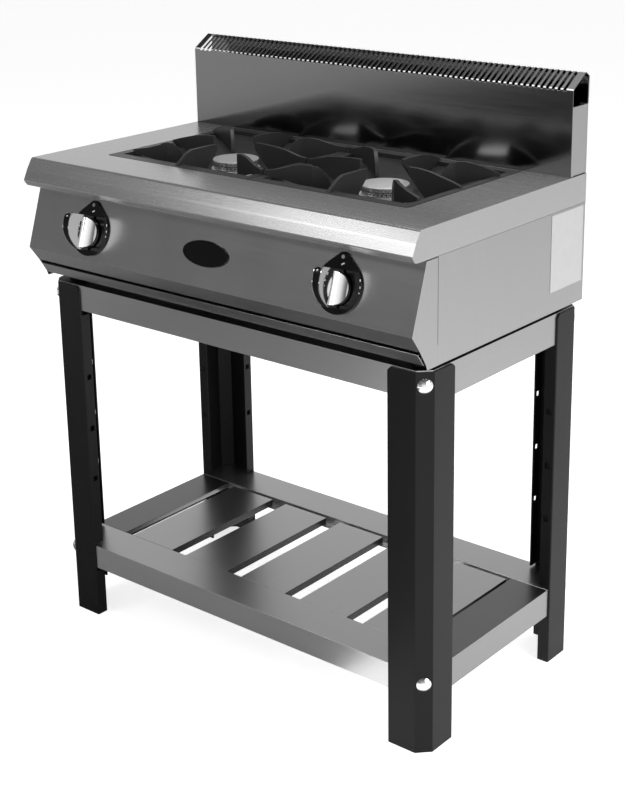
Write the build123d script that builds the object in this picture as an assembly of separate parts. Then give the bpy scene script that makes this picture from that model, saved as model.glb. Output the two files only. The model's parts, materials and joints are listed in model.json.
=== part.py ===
from build123d import *
import os

# Two-burner gas boiling range on an open stand. Millimetres, +Z up, +Y to the back, +X to the
# right. Y is measured from the top edge of the control panel while the pieces are built, and
# everything is moved at the end so that the origin is the bottom centre of the whole.

# Stand
STAND_HALF_WIDTH = 406.3
STAND_FRONT = -5.5
STAND_BACK = 425.7
LEG_HEIGHT = 628.6
LEG_SHEET = 3.0
LEG_FLANGE = 72.9
LEG_CHAMFER = 19.7
LEG_LIP = 21.0
LEG_BEND_RADIUS = 2.4
LEG_TOP_CLIP = 7.0
SHORT_LIP_FOOT = 35.0
LIP_HOLE = 9.6
LIP_HOLE_HEIGHTS = (266.8, 363.3, 459.9)
RAIL_SHEET = 2.0
RAIL_FOOT = 15.0
RAIL_FOOT_INSET = 60.0
RAIL_END_GAP = 0.5
APRON_TOP = 630.6
APRON_FRONT_BOTTOM = 585.3
APRON_SIDE_BOTTOM = 577.7
APRON_FLANGE = 45.0
SHELF_TOP = 138.0
SHELF_FRONT_BOTTOM = 94.5
SHELF_SIDE_BOTTOM = 89.0
SHELF_FLANGE = 72.0
SHELF_LEDGE = 18.0
LIP_GAP = 3.0
SLAT_FIRST = -312.0
SLAT_PITCH = 134.2
SLAT_WIDTH = 101.0
SLAT_DEPTH = 12.5
SLAT_GAP = 8.0
SIDE_TURN_DOWN = 8.0
SLAT_SHEET = 1.5
SLAT_COUNT = 5
BOLT_HEIGHTS = (119.1, 607.6)
BOLT_HEAD = 23.4
BOLT_HEAD_RISE = 5.2
BOLT_SIZE = 10.0
BOLT_REACH = 22.0
NUT_ACROSS = 17.0
NUT_THICK = 8.0

# Casing
BODY_HALF_WIDTH = 409.0
BODY_BOTTOM = 638.2
BODY_BACK = 424.0
CASING_SHEET = 1.2
PANEL_SHEET = 1.5
PANEL_PROFILE = ((-10.0, 801.0), (-44.5, 696.4), (-25.0, 670.0))
PANEL_RETURN = (-6.0, 668.5)
CHEEK_FOOT = ((-10.5, 647.0), (-7.3, 638.2))
SEAM = 17.1
SIDE_TOP = 848.5
BACK_PANEL = 405.0
BASE_FRONT = 20.0
BASE_LIP = 5.0
SPACER_DIAMETER = 30.0
SPACER_X = 372.0
SPACER_Y = (30.0, 390.0)
BODY_BOLT = 8.0
BODY_BOLT_HOLE = 8.6
BODY_BOLT_ACROSS = 13.0
BODY_BOLT_HEAD = 4.6
BODY_NUT = 6.5
BODY_BOLT_REACH = 12.0
SIDE_FLANGE = 14.0
SIDE_BACK_FOOT = 660.0
SIDE_FRONT_FOOT = 668.0
BADGE_X = -4.0
BADGE_S = 56.6
BADGE_WIDTH = 97.0
BADGE_DEPTH = 41.0
BADGE_THICK = 2.4
PLATE_Y = (322.0, 417.0)
PLATE_Z = (673.0, 799.0)
PLATE_THICK = 0.6

# Worktop and splashback
TOP_HALF_WIDTH = 410.0
TOP_HEIGHT = 850.0
NOSE_START = 0.0
TOP_BACK = 423.0
TOP_SHEET = 1.5
SKIRT_SHEET = 0.9
SKIRT_BOTTOM = 803.1
NOSE_PROFILE = ((-25.5, 850.0), (-37.5, 831.0), (-46.0, 813.5), (-38.4, 803.6), (-11.0, 803.1))
NOSE_RADII = (6.0, 40.0, 3.0, 4.0)
WELL_HALF_X = 320.0
WELL_FRONT = 64.0
WELL_BACK = 376.0
WELL_CORNER = 8.0
FLUE_HALF_X = 372.0
FLUE_FRONT = 386.0
FLUE_BACK = 416.0
FLUE_TOP = 998.0
SPLASH_FRONT = 377.0
SPLASH_TOP = 989.5
SPLASH_HALF_X = 408.0
SPLASH_SHEET = 1.2
RIDGE = (415.0, 1013.5)
LOUVRE_BACK = (426.0, 1006.0)
LOUVRE_FOOT = (425.4, 963.0)
END_CAP_TOP = 962.0
LOUVRE_COUNT = 75
LOUVRE_PITCH = 10.6
LOUVRE_SLOT = 5.6
LOUVRE_START = 986.5
LOUVRE_STOP = 419.0
FOLD_RADIUS = 3.0

# Hob
BURNER_X = 162.0
BURNER_Y = 216.0
DISH_SHEET = 1.5
BOWL_SKIN = 0.6
DISH_FLANGE = 12.0
LEDGE_HEIGHT = 843.0
BOWL_FLOOR = 815.0
BOWL_HOLE = 52.0
BOWL_SECTIONS = (
    (843.0, 134.0, 130.0, 40.0),
    (836.0, 120.0, 118.0, 62.0),
    (826.0, 100.0, 98.0, 80.0),
    (815.0, 76.0, 75.0, 70.0),
)
FRAME_SIDE = 14.0
FRAME_FRONT = 20.0
FRAME_CLEAR = 2.0
ARM_THICK = 6.0
ARM_UNDERSIDE = ((132, 844.5), (118, 838.5), (100, 829), (86, 822.5), (80, 826), (48, 859))
OUTER_ARM = (
    (48, 871), (67, 871), (89, 868.4), (111, 863.2), (132, 858), (147, 853.5), (150, 850), (150, 844.5),
) + ARM_UNDERSIDE
MIDDLE_ARM = (
    (48, 871), (68, 871), (93, 869.5), (116, 866.9), (132, 862.9), (147, 859.3),
    (159.5, 858.5), (159.5, 844.5),
) + ARM_UNDERSIDE
FRONT_ARM = (
    (48, 870), (60, 871), (108, 871), (122, 866), (135, 857), (144, 851), (146, 848), (146, 844.5),
) + ARM_UNDERSIDE
BACK_ARM = (
    (48, 868), (60, 869), (95, 868), (118, 864), (138, 857), (152, 850.5), (152, 844.5),
) + ARM_UNDERSIDE
CORNER_UNDERSIDE = ((56, 844.5), (46, 844), (22, 838), (3, 831), (0, 831))
CORNER_OUTER = (
    (0, 869.5), (14, 870.5), (31, 867.5), (46, 863.5), (58, 859), (70, 854.5), (71, 851), (71, 844.5),
) + CORNER_UNDERSIDE
CORNER_FRONT = (
    (0, 869.5), (5, 868.5), (13, 864.8), (33, 859.2), (52, 855.9), (63, 854.2), (63, 844.5),
) + CORNER_UNDERSIDE
CORNER_MIDDLE = (
    (0, 869.5), (14, 871), (31, 869), (46, 864.5), (60, 861), (81, 858.5), (81, 844.5),
) + CORNER_UNDERSIDE
CORNER_NOSE = ((0, 869.5), (9, 867.5), (17, 861), (24, 851), (28, 842), (30, 833), (30, 829), (0, 829))
CORNER_POST = (831.0, 869.0)
CORNER_TIP = (83.0, 81.0)
CORNER_HEADING = 20.0
CAP_DIAMETER = 79.0
CAP_BOTTOM = 835.6
CAP_RIM = 2.2
CAP_DOME = 1.2
CAP_SPIGOT = 6.0
CAP_SPIGOT_WALL = 2.7
RING_DIAMETER = 76.0
RING_WALL = 5.0
RING_BOTTOM = 822.0
PORT_ROWS = (826.0, 831.4)
PORT_COUNT = 36
PORT_SIZE = 2.8
BASE_RING_DIAMETER = 84.0
BASE_RING_BOTTOM = 814.0
BASE_CUP_DIAMETER = 92.0
BASE_CUP_BOTTOM = 772.0
BASE_CUP_FLOOR = 5.0
BASE_CUP_WALL = 14.0
MIX_HEIGHT = 790.0
MIX_RADIUS = 14.0
MIX_WALL = 2.5
MIX_FLARE = 5.0
MIX_FLARE_LENGTH = 14.0
MIX_MOUTH = 60.0
CROSS_RAIL_DEPTH = 44.0
CROSS_RAIL_HEIGHT = 30.0

# Gas train and knobs, set out along the panel's own normal
TAP_S = 64.0
TAP_X = 266.0
BEZEL_APEX = 9.3
BEZEL_TIP_RADIUS = 12.0
BEZEL_FOOT = 102.5
BEZEL_WIDTH = 84.0
BEZEL_THICK = 3.6
BEZEL_SCREW = 17.0
STEM_HOLE = 14.0
SCREW_HOLE = 3.4
SKIRT_DIAMETER = 52.0
SKIRT_BACK = 7.0
SKIRT_FRONT = 12.5
GRIP_CREST = ((28.5, 52.0), (25.0, 56.4), (12.0, 58.6), (0.0, 56.6), (-14.0, 47.6), (-28.5, 26.5))
GRIP_THICK = 14.0
INSERT_TOP_WIDTH = 11.6
INSERT_FOOT_WIDTH = 8.0
INSERT_RIM = 1.2
INSERT_PROUD = 1.0
INSERT_DEPTH = 7.0
STEM_DIAMETER = 8.0
STEM_FLAT = 2.6
STEM_FLAT_LENGTH = 18.0
KNOB_FLAT_START = 15.0
TAP_SLACK = 5.0
STEM_REACH = 25.0
STEM_TAIL = 36.0
PRESS_TRAVEL = 3.0
TAP_DIAMETER = 26.0
MANIFOLD_DEPTH = 60.0
PIPE_DIAMETER = 21.4
PIPE_WALL = 2.6
PIPE_GAP = 2.0
PIPE_BEND = 26.0
FEED_DIAMETER = 8.0
FEED_DEPTH = 28.0
FEED_BEND = 12.0
FEED_START = 18.0
FEED_BOSS = 14.0
INJECTOR_BACK = 58.0
INJECTOR_LENGTH = 16.0
INJECTOR_RADIUS = 6.0
INLET_X = 338.0
INLET_BORE = 18.6
INLET_ACROSS = 30.0
INLET_LENGTH = 17.0
MANIFOLD_LEFT = 300.0

# Drip tray
TRAY_HALF_WIDTH = 398.0
TRAY_BACK = 396.0
TRAY_SHEET = 1.0
TRAY_WALL = 14.0
TRAY_FLOOR = 646.0
STRIP_HALF_WIDTH = 404.0
STRIP_PROFILE = ((-20.0, 665.6), (-24.8, 664.6), (-10.0, 644.6), (-6.0, 644.6))
RUNNER_TOP = 645.6
RUNNER_WIDTH = 12.0

# Small screws
SCREW_HEAD = 1.4
BEZEL_SCREW_HEAD = 6.0
BEZEL_SCREW_SIZE = 3.0
BEZEL_SCREW_REACH = 5.0
FLUE_SCREW_HEAD = 7.0
FLUE_SCREW_X = (-300.0, -100.0, 100.0, 300.0)
FLUE_SCREW_Z = (880.0, 940.0)

# Gaps between moving pieces, and round bolts and spindles
CLEAR = 0.3
CUT = 20.0
FIT = 0.1

nodes = {}


def keep(name, shape):
    """Record one node under its name."""
    nodes[name] = shape


def box(x0, x1, y0, y1, z0, z1):
    """A plain block between two corners."""
    middle = ((x0 + x1) / 2, (y0 + y1) / 2, (z0 + z1) / 2)
    return Pos(*middle) * Box(x1 - x0, y1 - y0, z1 - z0)


def slab(points, height, plane=Plane.XY):
    """A closed outline extruded along its plane's normal."""
    outline = Polyline(*[(p[0], p[1]) for p in points], close=True)
    return extrude(plane * make_face(outline), height)


def side_slab(points, x0, x1):
    """An outline in (y, z) extruded across x."""
    return slab(points, x1 - x0, Plane((x0, 0, 0), x_dir=(0, 1, 0), z_dir=(1, 0, 0)))


def offset_path(points, thickness):
    """The same open path moved sideways to its left by a sheet's thickness."""
    moved = []
    last = len(points) - 1
    for i, point in enumerate(points):
        before = Vector(*points[max(i - 1, 0)])
        here = Vector(*point)
        after = Vector(*points[min(i + 1, last)])
        into = (here - before).normalized() if i else (after - here).normalized()
        out = (after - here).normalized() if i < last else into
        normal_in = Vector(-into.Y, into.X)
        normal_out = Vector(-out.Y, out.X)
        mean = (normal_in + normal_out).normalized()
        reach = thickness / mean.dot(normal_in)
        moved.append((here.X + mean.X * reach, here.Y + mean.Y * reach))
    return moved


def sheet_outline(points, thickness):
    """A closed outline of a folded sheet, thickened to the left of its path."""
    return list(points) + offset_path(points, thickness)[::-1]


def round_folds(shape, folds, radius):
    """Round a sheet's long edges that run across x through the given (y, z) points."""
    edges = []
    for edge in shape.edges().filter_by(Axis.X):
        middle = edge.center()
        if any(abs(middle.Y - y) < 0.01 and abs(middle.Z - z) < 0.01 for y, z in folds):
            edges.append(edge)
    return fillet(edges, radius)


def group(pieces):
    """Several separate solids as one node."""
    return Part() + pieces


def mirror_x(shape):
    """The left-hand twin of a right-hand piece."""
    return mirror(shape, about=Plane.YZ)


def corner(shape, left, front):
    """Set a piece drawn in corner coordinates (x and y inward from the corner) at one corner."""
    placed = shape
    if not left:
        placed = mirror(placed, about=Plane.YZ)
    if not front:
        placed = mirror(placed, about=Plane.XZ)
    x = -STAND_HALF_WIDTH if left else STAND_HALF_WIDTH
    y = STAND_FRONT if front else STAND_BACK
    return Pos(x, y, 0) * placed


# ---------------------------------------------------------------- stand
def leg(full_lip_on_x):
    """One folded corner leg in corner coordinates, with one full lip and one short lip."""
    a = LEG_FLANGE
    path = [(a, LEG_LIP), (a, 0), (LEG_CHAMFER, 0), (0, LEG_CHAMFER), (0, a), (LEG_LIP, a)]
    outline = sheet_outline(path[::-1], LEG_SHEET)
    shape = slab(outline, LEG_HEIGHT)
    folds = path[1:-1]
    bends = []
    for edge in shape.edges().filter_by(Axis.Z):
        middle = edge.center()
        if (round(middle.X, 1), round(middle.Y, 1)) in folds:
            bends.append(edge)
    shape = fillet(bends, LEG_BEND_RADIUS)
    inner = LEG_SHEET
    zones = [(SHELF_SIDE_BOTTOM - LIP_GAP, SHELF_TOP + LIP_GAP), (APRON_SIDE_BOTTOM - LIP_GAP, LEG_HEIGHT)]
    for low, high in zones:
        shape -= box(inner, a + 1, a - LEG_SHEET - 1, a + 1, low, high) - box(-1, inner, -1, a + 2, low, high)
        shape -= box(a - LEG_SHEET - 1, a + 1, inner, a + 1, low, high)
    if full_lip_on_x:
        shape -= box(inner, LEG_LIP + 1, a - LEG_SHEET - 1, a + 1, -1, SHORT_LIP_FOOT)
    else:
        shape -= box(a - LEG_SHEET - 1, a + 1, inner, LEG_LIP + 1, -1, SHORT_LIP_FOOT)
    middle = (LEG_SHEET + LEG_LIP) / 2
    for z in LIP_HOLE_HEIGHTS:
        shape -= Pos(a, middle, z) * Box(4 * LEG_SHEET, LIP_HOLE, LIP_HOLE)
        shape -= Pos(middle, a, z) * Box(LIP_HOLE, 4 * LEG_SHEET, LIP_HOLE)
    clip = Plane((0, 0, 0), x_dir=(1, 0, 0), z_dir=(0, -1, 0))
    past = a + 1
    above = LEG_HEIGHT + 1
    wedge = ((past, above - LEG_TOP_CLIP - 2), (past, above), (past - LEG_TOP_CLIP - 2, above))
    cut_x = Pos(0, LEG_SHEET + 1, 0) * slab(wedge, 2 * LEG_SHEET, clip)
    swap = Plane((0, 0, 0), x_dir=(0, 1, 0), z_dir=(1, 0, 0))
    cut_y = Pos(-LEG_SHEET + 1, 0, 0) * slab(wedge, 2 * LEG_SHEET, swap)
    shape -= cut_x
    shape -= cut_y
    for z in BOLT_HEIGHTS:
        shape -= bolt_frame(z) * Cylinder(BOLT_SIZE / 2 + FIT, 4 * LEG_SHEET)
        shape -= bolt_frame(z) * Box(BOLT_SIZE + 2 * FIT, BOLT_SIZE + 2 * FIT, 2 * LEG_SHEET + 1)
    return shape


def bolt_frame(z):
    """Where a carriage bolt meets the chamfer: local Z points inward through the corner."""
    middle = LEG_CHAMFER / 2
    return Location(Plane((middle, middle, z), x_dir=(0, 0, 1), z_dir=(1, 1, 0)))


LEGS = {
    "leg_front_left": (True, True),
    "leg_front_right": (False, True),
    "leg_rear_left": (True, False),
    "leg_rear_right": (False, False),
}
for name, (left, front) in LEGS.items():
    keep(name, corner(leg(front), left, front))

WEB = LEG_SHEET
FACE_FRONT = STAND_FRONT + WEB
FACE_BACK = STAND_BACK - WEB
FACE_SIDE = STAND_HALF_WIDTH - WEB
DIAGONAL = LEG_CHAMFER + LEG_SHEET * 2 ** 0.5
LAYER = RAIL_SHEET * 2 ** 0.5


def corner_clip(shape, reach, low, high):
    """Cut a piece back from the four chamfered legs: reach is measured along each side."""
    for left in (True, False):
        for front in (True, False):
            wedge = slab(((-5, -5), (reach + 5, -5), (-5, reach + 5)), high - low)
            shape -= corner(Pos(0, 0, low) * wedge, left, front)
    return shape


def tab(reach, low, high, inner_stop):
    """A 45-degree end tab in corner coordinates, lying on the line x + y = reach."""
    band = ((WEB, reach - WEB), (reach - WEB, WEB), (reach - WEB + LAYER, WEB), (WEB, reach - WEB + LAYER))
    piece = Pos(0, 0, low) * slab(band, high - low)
    piece &= box(inner_stop[0], 100, inner_stop[1], 100, low - 1, high + 1)
    return piece


def rail_holes(shape, z):
    """Bolt holes through all four corners at one height."""
    for left in (True, False):
        for front in (True, False):
            drill = bolt_frame(z) * Cylinder(BOLT_SIZE / 2 + FIT, 80)
            shape -= corner(drill, left, front)
    return shape


def long_rail(front, bottom, top, flange, turn_down, foot, bolt_height):
    """A front or rear rail: web, top flange, turn-down with a ledge, and two end tabs."""
    bend = DIAGONAL - WEB
    half = STAND_HALF_WIDTH - bend
    y0 = STAND_FRONT + WEB
    shape = box(-half, half, y0, y0 + RAIL_SHEET, bottom, top)
    plate = box(-FACE_SIDE + CLEAR, FACE_SIDE - CLEAR, y0, y0 + flange, top - RAIL_SHEET, top)
    shape += corner_clip(plate, DIAGONAL, bottom - 5, top + 5)
    if turn_down:
        span = STAND_HALF_WIDTH - SHELF_FLANGE - WEB
        back = y0 + flange
        low = top - turn_down
        shape += box(-span, span, back - RAIL_SHEET, back, low, top)
        shape += box(-span, span, back - RAIL_SHEET, back + SHELF_LEDGE, low, low + RAIL_SHEET)
    shape += box(
        -half + RAIL_FOOT_INSET, half - RAIL_FOOT_INSET, y0, y0 + foot, bottom, bottom + RAIL_SHEET
    )
    for left in (True, False):
        shape += corner(tab(DIAGONAL, bottom, top - RAIL_SHEET / 2, (WEB + CLEAR, WEB)), left, True)
    shape = rail_holes(shape, bolt_height)
    if not front:
        middle = (STAND_FRONT + STAND_BACK) / 2
        shape = mirror(shape, about=Plane.XZ.offset(-middle))
    return shape


def side_rail(bottom, top, flange, y_front, y_back, foot, bolt_height, turn_down):
    """The right-hand side rail: web, top flange and tabs layered behind the long rails' tabs."""
    reach = DIAGONAL + LAYER
    bend = reach - WEB
    x1 = FACE_SIDE
    y0 = STAND_FRONT + bend
    y1 = STAND_BACK - bend
    web_top = top - RAIL_SHEET - CLEAR
    shape = box(x1 - RAIL_SHEET, x1, y0, y1, bottom, web_top)
    shape += box(x1 - RAIL_SHEET, x1, y_front, y_back, bottom, top)
    shape += box(x1 - flange, x1, y_front, y_back, top - RAIL_SHEET, top)
    if turn_down:
        shape += box(x1 - flange, x1 - flange + RAIL_SHEET, y_front, y_back, top - turn_down, top)
    shape += box(
        x1 - foot, x1, y0 + RAIL_FOOT_INSET, y1 - RAIL_FOOT_INSET, bottom, bottom + RAIL_SHEET
    )
    for front in (True, False):
        shape += corner(tab(reach, bottom, web_top, (WEB, WEB + RAIL_SHEET + CLEAR)), False, front)
    return rail_holes(shape, bolt_height)


apron = (APRON_FRONT_BOTTOM, APRON_TOP, APRON_FLANGE, 0, RAIL_FOOT, BOLT_HEIGHTS[1])
keep("apron_front", long_rail(True, *apron))
keep("apron_rear", long_rail(False, *apron))
apron_inset = APRON_FLANGE + RAIL_END_GAP
apron_y = (FACE_FRONT + apron_inset, FACE_BACK - apron_inset)
apron_size = (APRON_SIDE_BOTTOM, APRON_TOP, APRON_FLANGE)
apron_side = side_rail(*apron_size, *apron_y, RAIL_FOOT, BOLT_HEIGHTS[1], 0)
keep("apron_right", apron_side)
keep("apron_left", mirror_x(apron_side))

ledge_drop = SLAT_DEPTH + RAIL_SHEET
shelf = (SHELF_FRONT_BOTTOM, SHELF_TOP, SHELF_FLANGE, ledge_drop, RAIL_FOOT, BOLT_HEIGHTS[0])
keep("shelf_rail_front", long_rail(True, *shelf))
keep("shelf_rail_rear", long_rail(False, *shelf))
shelf_inset = SHELF_FLANGE + RAIL_END_GAP
shelf_y = (FACE_FRONT + shelf_inset, FACE_BACK - shelf_inset)
shelf_size = (SHELF_SIDE_BOTTOM, SHELF_TOP, SHELF_FLANGE)
shelf_side = side_rail(*shelf_size, *shelf_y, RAIL_FOOT, BOLT_HEIGHTS[0], SIDE_TURN_DOWN)
keep("shelf_rail_right", shelf_side)
keep("shelf_rail_left", mirror_x(shelf_side))

slat_front = FACE_FRONT + SHELF_FLANGE
slat_back = FACE_BACK - SHELF_FLANGE - SLAT_GAP
for i in range(SLAT_COUNT):
    x0 = SLAT_FIRST + i * SLAT_PITCH
    x1 = x0 + SLAT_WIDTH
    skin = box(x0, x1, slat_front, slat_back, SHELF_TOP - SLAT_DEPTH, SHELF_TOP)
    t = SLAT_SHEET
    skin -= box(x0 + t, x1 - t, slat_front + t, slat_back - t, SHELF_TOP - SLAT_DEPTH - 1, SHELF_TOP - t)
    keep(f"shelf_slat_{i + 1}", skin)


def carriage_bolt(z):
    """Domed head, square neck and shank, in corner coordinates."""
    ball = (BOLT_HEAD ** 2 / 4 + BOLT_HEAD_RISE ** 2) / (2 * BOLT_HEAD_RISE)
    dome = Pos(0, 0, ball - BOLT_HEAD_RISE) * Sphere(ball)
    dome &= Pos(0, 0, -BOLT_HEAD_RISE / 2) * Cylinder(BOLT_HEAD / 2 + 1, BOLT_HEAD_RISE)
    neck = Pos(0, 0, LEG_SHEET / 2) * Box(BOLT_SIZE, BOLT_SIZE, LEG_SHEET)
    shank = Pos(0, 0, BOLT_REACH / 2) * Cylinder(BOLT_SIZE / 2, BOLT_REACH)
    return bolt_frame(z) * (dome + neck + shank)


def corner_nut(z):
    """Hexagon nut on the inside of a corner, past the leg and both rail tabs."""
    depth = LEG_SHEET + 2 * RAIL_SHEET
    hexagon = extrude(RegularPolygon(NUT_ACROSS / 2, 6, major_radius=False), NUT_THICK)
    hexagon -= Cylinder(BOLT_SIZE / 2, 4 * NUT_THICK)
    return bolt_frame(z) * (Pos(0, 0, depth) * hexagon)


bolts = []
nuts = []
for z in BOLT_HEIGHTS:
    for left in (True, False):
        for front in (True, False):
            bolts.append(corner(carriage_bolt(z), left, front))
            nuts.append(corner(corner_nut(z), left, front))
keep("stand_bolts", group(bolts))
keep("stand_nuts", group(nuts))

# ---------------------------------------------------------------- casing
inside = BODY_HALF_WIDTH - CASING_SHEET
base_z = BODY_BOTTOM
pan = box(-inside, inside, BASE_FRONT, BACK_PANEL, base_z, base_z + CASING_SHEET)
for sign in (-1, 1):
    wall = sorted((sign * (inside - CASING_SHEET), sign * inside))
    pan += box(*wall, BASE_FRONT, BACK_PANEL, base_z, base_z + BASE_LIP)
mount_x = [sign * SPACER_X for sign in (-1, 1)]
mount_points = [(x, y) for x in mount_x for y in SPACER_Y]
for x, y in mount_points:
    pan -= Pos(x, y, base_z) * Cylinder(BODY_BOLT_HOLE / 2, CUT)
keep("base_pan", pan)

spacers = []
body_bolts = []
for x, y in mount_points:
    pad = Pos(x, y, (APRON_TOP + base_z) / 2) * Cylinder(SPACER_DIAMETER / 2, base_z - APRON_TOP)
    pad -= Pos(x, y, base_z) * Cylinder(BODY_BOLT_HOLE / 2, 40)
    spacers.append(pad)
    foot = APRON_TOP - RAIL_SHEET
    low = foot - BODY_BOLT_REACH
    high = base_z + CASING_SHEET
    hexagon = RegularPolygon(BODY_BOLT_ACROSS / 2, 6, major_radius=False)
    shank = Pos(x, y, (low + high) / 2) * Cylinder(BODY_BOLT / 2, high - low)
    head = Pos(x, y, high) * extrude(hexagon, BODY_BOLT_HEAD)
    nut = Pos(x, y, foot - BODY_NUT) * extrude(hexagon, BODY_NUT)
    body_bolts.append(shank + head + nut)
keep("body_spacers", group(spacers))
keep("body_bolts", group(body_bolts))
for apron_name in ("apron_front", "apron_rear"):
    for x, y in mount_points:
        nodes[apron_name] -= Pos(x, y, APRON_TOP) * Cylinder(BODY_BOLT_HOLE / 2, CUT / 2)

rim = inside - SIDE_FLANGE
side = box(inside, BODY_HALF_WIDTH, SEAM, BODY_BACK, BODY_BOTTOM, SIDE_TOP)
side += box(rim, BODY_HALF_WIDTH, SEAM, BODY_BACK, SIDE_TOP - CASING_SHEET, SIDE_TOP)
side += box(rim, BODY_HALF_WIDTH, BODY_BACK - CASING_SHEET, BODY_BACK, SIDE_BACK_FOOT, SIDE_TOP)
side += box(rim, BODY_HALF_WIDTH, SEAM, SEAM + CASING_SHEET, SIDE_FRONT_FOOT, SIDE_TOP)
skirt_y = (TOP_BACK - 2 * TOP_SHEET, BODY_BACK + 1)
side -= box(rim - 1, BODY_HALF_WIDTH + 1, *skirt_y, SKIRT_BOTTOM - 1, SIDE_TOP + 1)
keep("side_panel_right", side)
keep("side_panel_left", mirror_x(side))

down = (Vector(*PANEL_PROFILE[1]) - Vector(*PANEL_PROFILE[0])).normalized()
outward = Vector(down.Y, -down.X)


def on_panel(s, out):
    """A point (y, z) at a distance down the panel and standing out from its face."""
    y = PANEL_PROFILE[0][0] + down.X * s + outward.X * out
    z = PANEL_PROFILE[0][1] + down.Y * s + outward.Y * out
    return y, z


def panel_plane(x, s, out=0.0):
    """Local Z out of the panel, local Y up its slope, local X to the right."""
    y, z = on_panel(s, out)
    return Plane((x, y, z), x_dir=(1, 0, 0), z_dir=(0, outward.X, outward.Y))


tube_y, tube_z = on_panel(TAP_S, -MANIFOLD_DEPTH)

back = box(-inside, inside, BACK_PANEL, BACK_PANEL + CASING_SHEET, base_z, SIDE_TOP - CASING_SHEET)
back -= Pos(INLET_X, BACK_PANEL, tube_z) * Rot(90, 0, 0) * Cylinder(PIPE_DIAMETER / 2 + PIPE_GAP, CUT)
keep("back_panel", back)

top_return = (SEAM, PANEL_PROFILE[0][1])
front_path = [top_return] + list(PANEL_PROFILE) + [PANEL_RETURN]
front_face = sheet_outline(front_path, PANEL_SHEET)
panel = side_slab(front_face, -BODY_HALF_WIDTH, BODY_HALF_WIDTH)
cheek_outline = [top_return] + list(PANEL_PROFILE) + list(CHEEK_FOOT) + [(SEAM, BODY_BOTTOM)]
cheek = side_slab(cheek_outline, BODY_HALF_WIDTH - PANEL_SHEET, BODY_HALF_WIDTH)
panel += cheek + mirror_x(cheek)
for x in (-TAP_X, TAP_X):
    panel -= Location(panel_plane(x, TAP_S)) * Cylinder(STEM_HOLE / 2, CUT)
    panel -= Location(panel_plane(x, BEZEL_SCREW)) * Cylinder(SCREW_HOLE / 2, CUT)
keep("control_panel", panel)

badge = extrude(Ellipse(BADGE_WIDTH / 2, BADGE_DEPTH / 2), BADGE_THICK)
keep("badge_blank", Location(panel_plane(BADGE_X, BADGE_S)) * badge)
plate = box(BODY_HALF_WIDTH, BODY_HALF_WIDTH + PLATE_THICK, *PLATE_Y, *PLATE_Z)
keep("data_plate_blank", plate)

# ---------------------------------------------------------------- worktop
t = TOP_SHEET
top = box(-TOP_HALF_WIDTH, TOP_HALF_WIDTH, NOSE_START, TOP_BACK, TOP_HEIGHT - t, TOP_HEIGHT)
well = Pos(0, (WELL_FRONT + WELL_BACK) / 2, TOP_HEIGHT) * extrude(
    RectangleRounded(2 * WELL_HALF_X, WELL_BACK - WELL_FRONT, WELL_CORNER), CUT, both=True
)
top -= well
top -= box(-FLUE_HALF_X, FLUE_HALF_X, FLUE_FRONT, FLUE_BACK, TOP_HEIGHT - CUT, TOP_HEIGHT + CUT)
nose_path = [(NOSE_START, TOP_HEIGHT)] + list(NOSE_PROFILE)
nose = side_slab(sheet_outline(nose_path, t), -TOP_HALF_WIDTH, TOP_HALF_WIDTH)
skirt_outline = [(TOP_BACK, TOP_HEIGHT)] + nose_path + [(TOP_BACK, SKIRT_BOTTOM)]
inner_half = TOP_HALF_WIDTH - SKIRT_SHEET
skirt = side_slab(skirt_outline, inner_half, TOP_HALF_WIDTH)
top = top + nose + skirt + mirror_x(skirt)
top += box(-inner_half, inner_half, TOP_BACK - t, TOP_BACK, SKIRT_BOTTOM, TOP_HEIGHT)
nose_inner = offset_path(nose_path, t)
for i, radius in enumerate(NOSE_RADII, start=1):
    top = round_folds(top, [nose_path[i]], radius)
    top = round_folds(top, [nose_inner[i]], radius - t)
keep("worktop", top)

# Hob dish: a pressed tray hung under the worktop, with a ledge and a bowl under each burner
well_mid = (WELL_FRONT + WELL_BACK) / 2
well_depth = WELL_BACK - WELL_FRONT
under_top = TOP_HEIGHT - TOP_SHEET
hang = Pos(0, well_mid, under_top - DISH_SHEET) * extrude(
    RectangleRounded(
        2 * (WELL_HALF_X + DISH_FLANGE), well_depth + 2 * DISH_FLANGE, WELL_CORNER + DISH_FLANGE
    ),
    DISH_SHEET,
)
body_block = Pos(0, well_mid, LEDGE_HEIGHT - DISH_SHEET) * extrude(
    RectangleRounded(2 * (WELL_HALF_X + DISH_SHEET), well_depth + 2 * DISH_SHEET, WELL_CORNER + DISH_SHEET),
    under_top - LEDGE_HEIGHT + DISH_SHEET,
)
hollow = Pos(0, well_mid, LEDGE_HEIGHT) * extrude(
    RectangleRounded(2 * WELL_HALF_X, well_depth, WELL_CORNER), 2 * CUT
)
dish = hang + body_block


def bowl(grow, drop):
    """A lofted bowl; grow widens each section and drop lowers it, for the outer skin."""
    sections = []
    for z, half_x, half_y, radius in BOWL_SECTIONS:
        face = RectangleRounded(2 * (half_x + grow), 2 * (half_y + grow), radius + grow)
        sections.append(Pos(0, 0, z - drop) * face)
    return loft(sections, ruled=True)


for x in (-BURNER_X, BURNER_X):
    dish += Pos(x, BURNER_Y, 0) * bowl(DISH_SHEET * BOWL_SKIN, DISH_SHEET)
dish -= hollow
for x in (-BURNER_X, BURNER_X):
    dish -= Pos(x, BURNER_Y, 0) * bowl(0, 0)
    dish -= Pos(x, BURNER_Y, BOWL_FLOOR) * Cylinder(BOWL_HOLE, CUT)
keep("hob_dish", dish)


# ---------------------------------------------------------------- splashback
ts = SPLASH_SHEET
splash_top = (SPLASH_FRONT, SPLASH_TOP)
splash_path = [
    LOUVRE_FOOT, LOUVRE_BACK, RIDGE, splash_top,
    (SPLASH_FRONT, TOP_HEIGHT), (FLUE_FRONT - 1, TOP_HEIGHT),
]


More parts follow.
